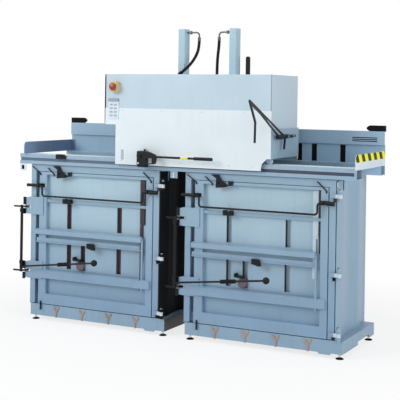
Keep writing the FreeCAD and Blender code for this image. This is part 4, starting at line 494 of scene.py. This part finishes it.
class BalerFramePaint(bpy.types.Operator):
    """Paints the bases, chambers, columns, rails and walls."""
    bl_idname = "baler.frame_paint"
    bl_label = "Frame paint"

    def execute(self, context):
        paints = context.scene.baler_paints
        pale = linear("#d3e0e8")
        groove_shade, deeper_groove_shade = linear("#5d7289"), linear("#434b60")
        gap_shade_black = linear("#141316")
        # the bases show the strongest streaks
        dress(powder_coat("base_powder_coat", paints.frame_blue, streak=0.1), "right_base")
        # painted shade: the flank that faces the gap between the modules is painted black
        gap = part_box("left_base")[1].x
        dress(powder_coat("left_base_powder_coat", paints.frame_blue, streak=0.1,
                          zones=[((gap - 0.004, -1, 0), (gap + 0.01, 1, 1), gap_shade_black)]), "left_base")
        dress(powder_coat("wall_powder_coat", paints.frame_blue), "left_chamber", "right_chamber")
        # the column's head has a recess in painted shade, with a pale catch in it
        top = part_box("right_hinge_column")[1].z
        recess = CENTRE["right"] + 0.5205
        dress(powder_coat("column_powder_coat", paints.frame_blue, zones=[
            ((recess, -0.38, top - 0.05), (recess + 0.051, -0.34, top - 0.004), linear("#20222b")),
            ((recess + 0.012, -0.381, top - 0.051), (recess + 0.032, -0.339, top - 0.018),
             linear("#c6d4de"))]), "right_hinge_column")
        # the same coat over the thin end panel, in a deeper blue that paints the shade on its inner face
        dress(powder_coat("guard_powder_coat", linear("#7189a8")), "left_side_panel")
        # painted shade: the column in the gap between the modules is painted a matt black that shows no
        # highlight
        dress(finish("black_gap_coat", gap_shade_black, 0.75, cloud=0.2, grain=0.006, gloss=0.12), "left_hinge_column")
        low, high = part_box("front_rail")
        # the groove is painted in shade, darker on the right, and the top, where the rollers run, is rubbed
        # pale
        dress(powder_coat("rail_powder_coat", linear("#8fa9bd"), zones=[
            ((low.x - 1, low.y + 0.0015, high.z - 0.056), (0, low.y + 0.03, high.z - 0.03), groove_shade),
            ((0, low.y + 0.0015, high.z - 0.056), (high.x + 1, low.y + 0.03, high.z - 0.03), deeper_groove_shade),
            ((low.x - 1, low.y - 0.01, high.z - 0.0006), (high.x + 1, high.y + 0.01, high.z + 0.01), pale),
            ((low.x - 0.01, low.y - 0.01, low.z - 0.01), (low.x + 0.06, high.y, low.z + 0.0555), pale)]),
            "front_rail")
        # the back of the feed table is painted a little paler and bluer, as painted light against the shade
        # behind the housing
        dress(powder_coat("rear_powder_coat", linear("#96b4cb")), "rear_rail", "back_wall")
        low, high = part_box("right_side_panel")
        # the hazard stripe over the pale coat: two dull colours with sharp slanted edges
        band, lean = 0.133, 0.65
        stripe = diagonal_stripes(linear("#17150f"), tuple(paints.warning_yellow), band, lean,
                                  low.y + lean * (low.z + high.z + 0.052) / 2)
        dress(powder_coat("striped_panel_coat", pale, edge_highlight=0.15, gloss=0.12, zones=[
            ((high.x - 0.0006, low.y - 0.01, low.z + 0.052), (high.x + 0.01, high.y + 0.01, high.z + 0.01),
             stripe)]), "right_side_panel")
        return {"FINISHED"}


class BalerDoorPaint(bpy.types.Operator):
    """Paints the doors, with dark strap channels and plated hinge straps."""
    bl_idname = "baler.door_paint"
    bl_label = "Door paint"

    def execute(self, context):
        paints = context.scene.baler_paints
        zinc = linear("#c9d3da")
        # half a channel's width, how deep its back lies, and how thick its walls are
        half, floor, wall = 0.0225, 0.0355, 0.003
        for side in SIDES:
            centre = CENTRE[side]
            slots = []
            for x, low, high in CHANNELS:
                x += centre
                # the left door's channels are filled with brown painted shade
                if side == "left":
                    slots.append(((x - half, SKIN_Y + 0.003, low), (x + half, SKIN_Y + floor, high),
                                  tuple(paints.slot_shade_brown)))
                else:
                    # painted light and shade: these channels are pale at the back, where light falls, and
                    # only their left walls are dark with shade
                    slots.append(((x - half, SKIN_Y + 0.031, low), (x + half, SKIN_Y + floor, high),
                                  linear("#b4c8d4")))
                    slots.append(((x - half, SKIN_Y + 0.001, low), (x - half + wall, SKIN_Y + 0.0335, high),
                                  linear("#1c1c22")))
            # the low colour makes the coat darker and bluer towards the floor: painted shade
            dress(powder_coat(f"{side}_skin_powder_coat", paints.skin_blue, edge_highlight=0.2, low=linear("#7f9bb4"),
                              zones=slots), f"{side}_door_skin")
            # the hinge straps have the pale colour of zinc; the reveal on the lock side is painted shade, and
            # the coat is darker towards the floor as painted shade
            dress(powder_coat(f"{side}_door_powder_coat", paints.door_blue, low=linear("#7f9bb6"), zones=[
                ((centre + 0.5375, -0.5, 0), (centre + 0.7, 0, 2), zinc),
                ((centre - 0.5635, -0.336, 0.2), (centre - 0.5285, -0.2, 1.16), linear("#5f5f6e"))]),
                f"{side}_door_frame")
        return {"FINISHED"}


class BalerHeadPaint(bpy.types.Operator):
    """Paints the press head, its cylinders, panels, tank and motor."""
    bl_idname = "baler.head_paint"
    bl_label = "Press head paint"

    def execute(self, context):
        paints = context.scene.baler_paints
        low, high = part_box("head_housing")
        # the shadow line of the seam down the front right corner
        dress(powder_coat("housing_powder_coat", paints.head_blue, edge_highlight=0.2, streak=0.02, zones=[
            ((high.x - 0.0045, low.y - 0.01, low.z), (high.x - 0.0005, low.y + 0.012, high.z + 0.01),
             linear("#7f92a0"))]), "head_housing")
        # the same coat on the carriage and the platen, a little greyer
        dress(powder_coat("carriage_powder_coat", linear("#9ab4c6")), "head_carriage", "press_plate")
        # machine enamel sprayed on smooth tube: cleaner than the sheets, with a long soft highlight
        dress(powder_coat("cylinder_enamel", paints.cylinder_blue, edge_highlight=0.3, streak=0.04),
              "left_cylinder", "right_cylinder", "oil_tank")
        # the front panel's coat is nearly white, so its screws and edges carry the shape
        dress(powder_coat("panel_powder_coat", paints.panel_pale, edge_highlight=0.15, streak=0.02), "head_front_panel")
        low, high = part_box("control_panel")
        # printed polyester membrane: smooth and pale, with a grey bar along the top of its field
        dress(finish("keypad_membrane", linear("#d3dfe8"), 0.38, grain=0.003, relief=0.0001, cloud=0.03,
                     zones=[((low.x - 1, low.y - 0.01, high.z - 0.0225),
                             (high.x + 1, high.y - 0.0005, high.z + 0.01), linear("#8d9dab"))]),
              "control_panel")
        # cast iron under machine enamel: a dull slate blue with the casting's coarse skin
        dress(finish("motor_enamel", linear("#4d5f72"), 0.5, grain=0.004, relief=0.0005, cloud=0.12),
              "pump_motor")
        return {"FINISHED"}


class BalerMetals(bpy.types.Operator):
    """Finishes the frame's black steel, plated steel, chrome, plastic and rubber parts."""
    bl_idname = "baler.metals"
    bl_label = "Steel, plastic and rubber"

    def execute(self, context):
        paints = context.scene.baler_paints
        # air-drying black enamel on turned and flat steel, with a painted grey highlight on its edges
        highlight_grey = linear("#3c4250")
        enamel = finish("black_enamel", paints.black, 0.4, grain=0.003, relief=0.0002, cloud=0.25,
                        edge_highlight=0.3, edge_highlight_colour=highlight_grey, gloss=0.2)
        steels = ("door_fittings", "lock_shaft", "lock_lever", "bow")
        dress(enamel, *[f"{side}_{part}" for side in SIDES for part in steels])
        dress(enamel, "rail_stop", "side_lever", "side_lever_bracket", "push_lever_bracket")
        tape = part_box("push_lever")[0].x + 0.388
        half = context.scene.baler_sizes.tape_length / 2
        # the same enamel with a turn of yellow cloth tape on the rod
        dress(finish("taped_enamel", paints.black, 0.4, grain=0.003, relief=0.0002, cloud=0.25, edge_highlight=0.3,
                     edge_highlight_colour=highlight_grey, gloss=0.2,
                     zones=[((tape - half, -1, 0), (tape + half, 0, 2), linear("#e6e07a"))]), "push_lever")
        # phenolic and nylon mouldings: dull black with a spark-eroded grain
        moulded = finish("moulded_black_plastic", linear("#131316"), 0.5, grain=0.002, relief=0.0003,
                         cloud=0.15, gloss=0.2)
        dress(moulded, *[f"{side}_{part}" for side in SIDES for part in ("lock_knob", "bow_grips")])
        dress(moulded, "breather")
        # moulded phenolic: an even, dull brown
        dress(finish("brown_moulding", paints.rest_brown, 0.5, grain=0.002, relief=0.0002, cloud=0.15),
              "left_lever_rest", "right_lever_rest")
        # moulded rubber, with the bloom that greys it
        dress(finish("moulded_rubber", paints.rubber, 0.7, grain=0.003, relief=0.0003, cloud=0.3, gloss=0.12),
              "end_bumpers", "foot_pads")
        # bright zinc plate on drawn steel: fine grain, a little cloudy
        dress(finish("zinc_plate", paints.zinc, 0.34, metallic=0.9, grain=0.002, relief=0.0001, cloud=0.12),
              "hinge_pins", "lock_keepers", "foot_stems")
        # phosphated and oiled steel: dark, with small bright glints, and glands that are nearly black
        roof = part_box("head_housing")[1].z
        dress(finish("phosphated_steel", linear("#54565b"), 0.3, metallic=0.85, grain=0.003, relief=0.0002,
                     cloud=0.3, zones=[((-1, -1, roof - 0.01), (1, 1, roof + 0.028), linear("#141416"))]),
              "hose_fittings")
        # cut steel, plated and passivated: a warm bronze sheen, with a painted pale highlight along its edges
        dress(finish("passivated_steel", paints.hook_bronze, 0.4, metallic=0.6, grain=0.003, relief=0.0002,
                     cloud=0.2, edge_highlight=0.5, edge_highlight_colour=linear("#d9cdc2")), "strap_hooks")
        # ground rods under hard chrome: a mirror with long narrow reflections
        dress(finish("hard_chrome", linear("#c8ccd0"), 0.12, metallic=1.0, grain=0.002, relief=0.00002,
                     cloud=0.03), "piston_rods")
        # machined nylon: milky, with turning marks
        dress(finish("machined_nylon", linear("#dcdcd2"), 0.5, grain=0.002, relief=0.0002, cloud=0.08),
              "front_left_roller", "front_right_roller", "rear_left_roller", "rear_right_roller")
        # moulded ABS: an even straw yellow with a slight shine
        dress(finish("yellow_stop_box", paints.stop_yellow, 0.4, grain=0.003, relief=0.0001, cloud=0.08),
              "stop_button_base")
        return {"FINISHED"}


class BalerStopCap(bpy.types.Operator):
    """Makes the stop button's wide domed cap on its stem, in place of the frame's plainer one."""
    bl_idname = "baler.stop_cap"
    bl_label = "Stop button"

    def execute(self, context):
        # moulded polycarbonate: deep red, and glossy enough to hold one small highlight on its dome
        red = finish("red_stop_cap", context.scene.baler_paints.stop_red, 0.3, grain=0.003, relief=0.0001,
                     cloud=0.08, coat=0.3)
        front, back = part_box("stop_button")
        middle = (front.x + back.x) / 2 + 0.003, back.y, (front.z + back.z) / 2
        reach = back.y - front.y
        wide, stem = context.scene.baler_sizes.stop_cap / 2, 0.011
        rim = reach - 0.019
        profile = [(0, 0), (stem, 0), (stem, rim), (wide - 0.004, rim), (wide, reach - 0.016),
                   (wide, reach - 0.011), (wide * 0.93, reach - 0.006), (wide * 0.72, reach - 0.002),
                   (wide * 0.4, reach - 0.0003), (0, reach)]
        dome = turned(profile, middle, FORWARD, 48)
        cap = mesh_piece("stop_cap", [dome], red, "stop_button")
        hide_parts("stop_button")
        return {"FINISHED"}


class BalerFasteners(bpy.types.Operator):
    """Adds hex bolts, pan-head screws and the lock nuts of the feet."""
    bl_idname = "baler.fasteners"
    bl_label = "Bolts, screws and nuts"

    def execute(self, context):
        sizes = context.scene.baler_sizes
        flats, head = sizes.bolt_flats, sizes.screw_head
        # turned steel under bright zinc: small sharp glints on a cloudy grey
        steel = finish("bolt_zinc", context.scene.baler_paints.zinc, 0.36, metallic=0.9, grain=0.002,
                       relief=0.0001, cloud=0.15)
        # two bolts stand on the rail's middle plate
        plate_x, plate_y = -0.017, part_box("front_rail")[0].y + 0.005
        bolts = []
        for z in (1.196, 1.177):
            bolts += hex_bolt((plate_x, plate_y, z), FORWARD, flats)
        mesh_piece("rail_plate_bolts", bolts, steel, "frame")
        # a hex nut with both edges chamfered locks each foot's stem
        profile = [(0.0072, -0.010), (0.0127, -0.010), (0.0134, -0.0085), (0.0134, -0.0015), (0.0127, 0),
                   (0.0072, 0), (0.0072, -0.010)]
        foot_x, foot_y, nut_top = 0.569, 0.319, 0.037
        nuts = [turned(profile, (CENTRE[side] + x, y, nut_top), UP, 24, 6)
                for side in SIDES for x in (-foot_x, foot_x) for y in (-foot_y, foot_y)]
        mesh_piece("foot_nuts", nuts, steel, "frame")
        # the levers' brackets: two bolts at the side and one in front
        small = 0.013
        side_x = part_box("side_lever_bracket")[1].x - 0.024
        push_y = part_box("push_lever_bracket")[0].y + 0.03
        pieces = []
        for y in (-0.11, -0.02):
            pieces += hex_bolt((side_x, y, 1.487), ACROSS, small)
        pieces += hex_bolt((-0.268, push_y, 1.268), FORWARD, small)
        # screws along the foot and the top of the front panel, and in the corners of the stop box
        panel_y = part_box("head_front_panel")[0].y
        for z, places in ((1.2795, (-0.44, 0.051, 0.24, 0.44, 0.62)), (1.652, (-0.44, -0.11, 0.22, 0.55))):
            for x in places:
                pieces += pan_screw((x, panel_y, z), FORWARD, head)
        low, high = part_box("stop_button_base")
        for x in (low.x + 0.007, high.x - 0.007):
            for z in (low.z + 0.008, high.z - 0.008):
                pieces += pan_screw((x, low.y, z), FORWARD, 0.006)
        mesh_piece("head_bolts", pieces, steel, "press_head")
        return {"FINISHED"}


class BalerKeypad(bpy.types.Operator):
    """Adds two columns of crowned keys to the control panel."""
    bl_idname = "baler.keypad"
    bl_label = "Control keys"

    def execute(self, context):
        low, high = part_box("control_panel")
        face = high.y - 0.006
        first_x, first_z, pitch_x, pitch_z = 0.025, 0.0215, 0.036, 0.027
        half_wide, half_tall, rise = 0.012, 0.0066, 0.0032
        keys = [tablet((low.x + first_x + column * pitch_x, face + 0.002, low.z + first_z + row * pitch_z),
                       half_wide, half_tall, rise, ACROSS, UP) for row in range(4) for column in range(2)]
        # moulded silicone keys: a soft grey that goes matt
        grey = finish("silicone_keys", linear("#a3b2bf"), 0.6, grain=0.002, relief=0.0001, cloud=0.05)
        mesh_piece("panel_keys", keys, grey, "press_head")
        return {"FINISHED"}


class BalerFlaps(bpy.types.Operator):
    """Hangs dark rubber behind the wall's slots and louvres as painted shade, and adds an edge strip, a slide
    and an end plug.
    """
    bl_idname = "baler.flaps"
    bl_label = "Flaps and strips"

    def execute(self, context):
        # rubber cut from sheet: matt black with a faint grey bloom
        rubber = finish("sheet_rubber", context.scene.baler_paints.rubber, 0.7, grain=0.004, relief=0.0002,
                        cloud=0.25, gloss=0.1)
        thick = context.scene.baler_sizes.flap_thickness
        # the power of an outline says how square its corners are
        square = 24
        # the rubber behind each slot is a dark sheet that paints the shade seen through it
        slot_back, slot_z, louvre_back, louvre_z = 0.269, 1.36, 0.2555, 1.484
        flaps = [tablet((CENTRE[side] + offset, slot_back + thick, slot_z), 0.027, 0.0745, thick, ACROSS, UP,
                        corner=square) for side in SIDES for offset in (-0.2, 0.03, 0.147, 0.37)]
        # a dark sheet behind the louvres, too, paints the shade seen through them
        flaps += [tablet((x, louvre_back + thick, louvre_z), 0.1, 0.0375, thick, ACROSS, UP, corner=square)
                  for x in (1.2215, -0.1435)]
        mesh_piece("slot_flaps", flaps, rubber, "frame")
        low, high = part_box("head_housing")
        middle, half = (low.z + high.z) / 2, (high.z - low.z) / 2 - 0.002
        strip = tablet((low.x, low.y + 0.013, middle), 0.011, half, 0.008, FORWARD, UP, corner=30)
        mesh_piece("housing_edge_strip", [strip], rubber, "press_head")
        # a painted slide stands just behind the apron's slot: pale and matt, so the slot doesn't look open
        slide = tablet((-0.435, low.y + 0.0045, 1.323), 0.0116, 0.0365, 0.003, ACROSS, UP, corner=30)
        pale = finish("pale_slide_coat", linear("#a9b8bd"), 0.5, grain=0.004, relief=0.0002, cloud=0.1)
        mesh_piece("apron_slide", [slide], pale, "press_head")
        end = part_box("front_rail")[0]
        plug = tablet((end.x + 0.029, end.y + 0.005, 1.188), 0.0112, 0.0163, 0.007, ACROSS, UP, corner=14)
        mesh_piece("rail_end_plug", [plug], rubber, "frame")
        return {"FINISHED"}


class BalerGuides(bpy.types.Operator):
    """Adds the upright strap guides near the hinge side of the doors."""
    bl_idname = "baler.guides"
    bl_label = "Strap guides"

    def execute(self, context):
        # each guide is a wide plate over a narrow one
        # a guide's place from the module's middle, its top, the step where it narrows, and the feet
        offset, top, step, foot, edge_foot = 0.390, 1.1345, 0.80, 0.525, 0.70
        square = 26
        # painted shade: dull dark brown for the guide that lies in shade, with a painted paler highlight on
        # its edges
        brown = finish("brown_guide_coat", linear("#3b3236"), 0.5, grain=0.004, relief=0.0002, cloud=0.2,
                       edge_highlight=0.4, edge_highlight_colour=linear("#7a6c6a"), gloss=0.3)
        # the same guide on the lit door is painted pale blue: painted light
        blue = powder_coat("blue_guide_coat", linear("#bdd0dc"), edge_highlight=0.3)
        for side in SIDES:
            x = CENTRE[side] + offset
            wide = tablet((x, SKIN_Y, (top + step) / 2), 0.0205, (top - step) / 2, 0.014, ACROSS, UP,
                          corner=square)
            narrow = tablet((x - 0.008, SKIN_Y, (step + foot) / 2), 0.0125, (step - foot) / 2, 0.012,
                            ACROSS, UP, corner=square)
            mesh_piece(f"{side}_strap_guide", [wide, narrow], brown if side == "left" else blue,
                       f"{side}_door")
            if side == "left":
                # the left guide goes on down the lower tie
                tie = tablet((x + 0.0035, BAR_Y - 0.002, 0.508), 0.0055, 0.19, 0.0095, ACROSS, UP,
                             corner=square)
                mesh_piece("left_tie_edge", [tie], brown, "left_door")
            else:
                # the right guide has an edge in painted shade that ends higher up
                edge = tablet((x + 0.0315, SKIN_Y, (top + edge_foot) / 2), 0.0105, (top - edge_foot) / 2,
                              0.006, ACROSS, UP, corner=square)
                mesh_piece("right_guide_edge", [edge], brown, "right_door")
        return {"FINISHED"}


class BalerWelds(bpy.types.Operator):
    """Adds rippled weld beads where the cross bars end on the doors."""
    bl_idname = "baler.welds"
    bl_label = "Weld beads"

    def execute(self, context):
        radius = context.scene.baler_sizes.bead_radius
        # weld beads under the doors' coat: their ripples catch a row of small highlights
        coat = powder_coat("painted_weld", context.scene.baler_paints.door_blue, edge_highlight=0.2)
        ripple, inset, left = 0.12, 0.002, -0.545
        # the bars: bottom, top and right end
        bars = ((0.668, 0.716, 0.4), (0.612, 0.645, 0.4), (0.327, 0.4, 0.471))
        for side in SIDES:
            beads = []
            for low, high, right in bars:
                for x in (CENTRE[side] + left, CENTRE[side] + right):
                    start, end = (x, BAR_Y, low + inset), (x, BAR_Y, high - inset)
                    beads.append(tube_along(start, end, radius, ripple))
            mesh_piece(f"{side}_door_welds", beads, coat, f"{side}_door")
        return {"FINISHED"}


class BalerSleeves(bpy.types.Operator):
    """Slips ribbed rubber sleeves over the grips of the lock levers."""
    bl_idname = "baler.sleeves"
    bl_label = "Lever sleeves"

    def execute(self, context):
        # moulded ribbed rubber: fine rings of light and dark along the grip
        rubber = finish("ribbed_rubber", context.scene.baler_paints.rubber, 0.65, grain=0.003, relief=0.0002,
                        cloud=0.2, gloss=0.15)
        # at rest the lever leans out of the door's plane and rises; the hub is where its rod begins
        lean, rise = math.radians(15), math.radians(8.3)
        along = np.array((math.cos(rise) * math.cos(lean), -math.cos(rise) * math.sin(lean), math.sin(rise)))
        shaft_x, shaft_y, hub_z, reach, grip = -0.672, -0.385, 0.412, 0.0143, 0.437
        length, bore, mean, rib, ribs = 0.126, 0.0128, 0.0140, 0.0008, 16
        # the sleeve's radius along its length s is mean + rib cos(2 pi ribs s), closed by its bore
        share = np.linspace(0, 1, 97)
        swell = mean + rib * np.cos(2 * math.pi * share * ribs)
        profile = np.concatenate([[(bore, 0)], np.stack([swell, share * length], axis=1),
                                  [(bore, length), (bore, 0)]])
        for side in SIDES:
            hub = np.array((CENTRE[side] + shaft_x + reach * math.cos(lean), shaft_y - reach * math.sin(lean),
                            hub_z))
            sleeve = turned(profile, hub + along * grip, along, 24)
            mesh_piece(f"{side}_lever_sleeve", [sleeve], rubber, f"{side}_lock")
        return {"FINISHED"}


class BalerPanel(bpy.types.Panel):
    """Lists the baler's settings and steps."""
    bl_idname = "VIEW3D_PT_baler"
    bl_label = "Recycling baler"
    bl_space_type = "VIEW_3D"
    bl_region_type = "UI"
    bl_category = "Baler"

    def draw(self, context):
        scene = context.scene
        for group in (scene.baler_studio, scene.baler_sizes, scene.baler_paints):
            box = self.layout.box()
            for name in group.bl_rna.properties.keys():
                if name not in ("rna_type", "name"):
                    box.prop(group, name)
        for step in STEPS:
            self.layout.operator(step.bl_idname)


STEPS = (BalerStage, BalerHoses, BalerFramePaint, BalerDoorPaint, BalerHeadPaint, BalerMetals, BalerStopCap,
         BalerFasteners, BalerKeypad, BalerFlaps, BalerGuides, BalerWelds, BalerSleeves)
CLASSES = (BalerPaints, BalerSizes, BalerStudio, *STEPS, BalerPanel)


def register():
    for item in CLASSES:
        bpy.utils.register_class(item)
    bpy.types.Scene.baler_paints = PointerProperty(type=BalerPaints)
    bpy.types.Scene.baler_sizes = PointerProperty(type=BalerSizes)
    bpy.types.Scene.baler_studio = PointerProperty(type=BalerStudio)


def unregister():
    del bpy.types.Scene.baler_studio
    del bpy.types.Scene.baler_sizes
    del bpy.types.Scene.baler_paints
    for item in reversed(CLASSES):
        bpy.utils.unregister_class(item)


def main():
    """Registers the add-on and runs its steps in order."""
    register()
    for step in STEPS:
        group, name = step.bl_idname.split(".")
        getattr(getattr(bpy.ops, group), name)()


if __name__ == "__main__":
    main()
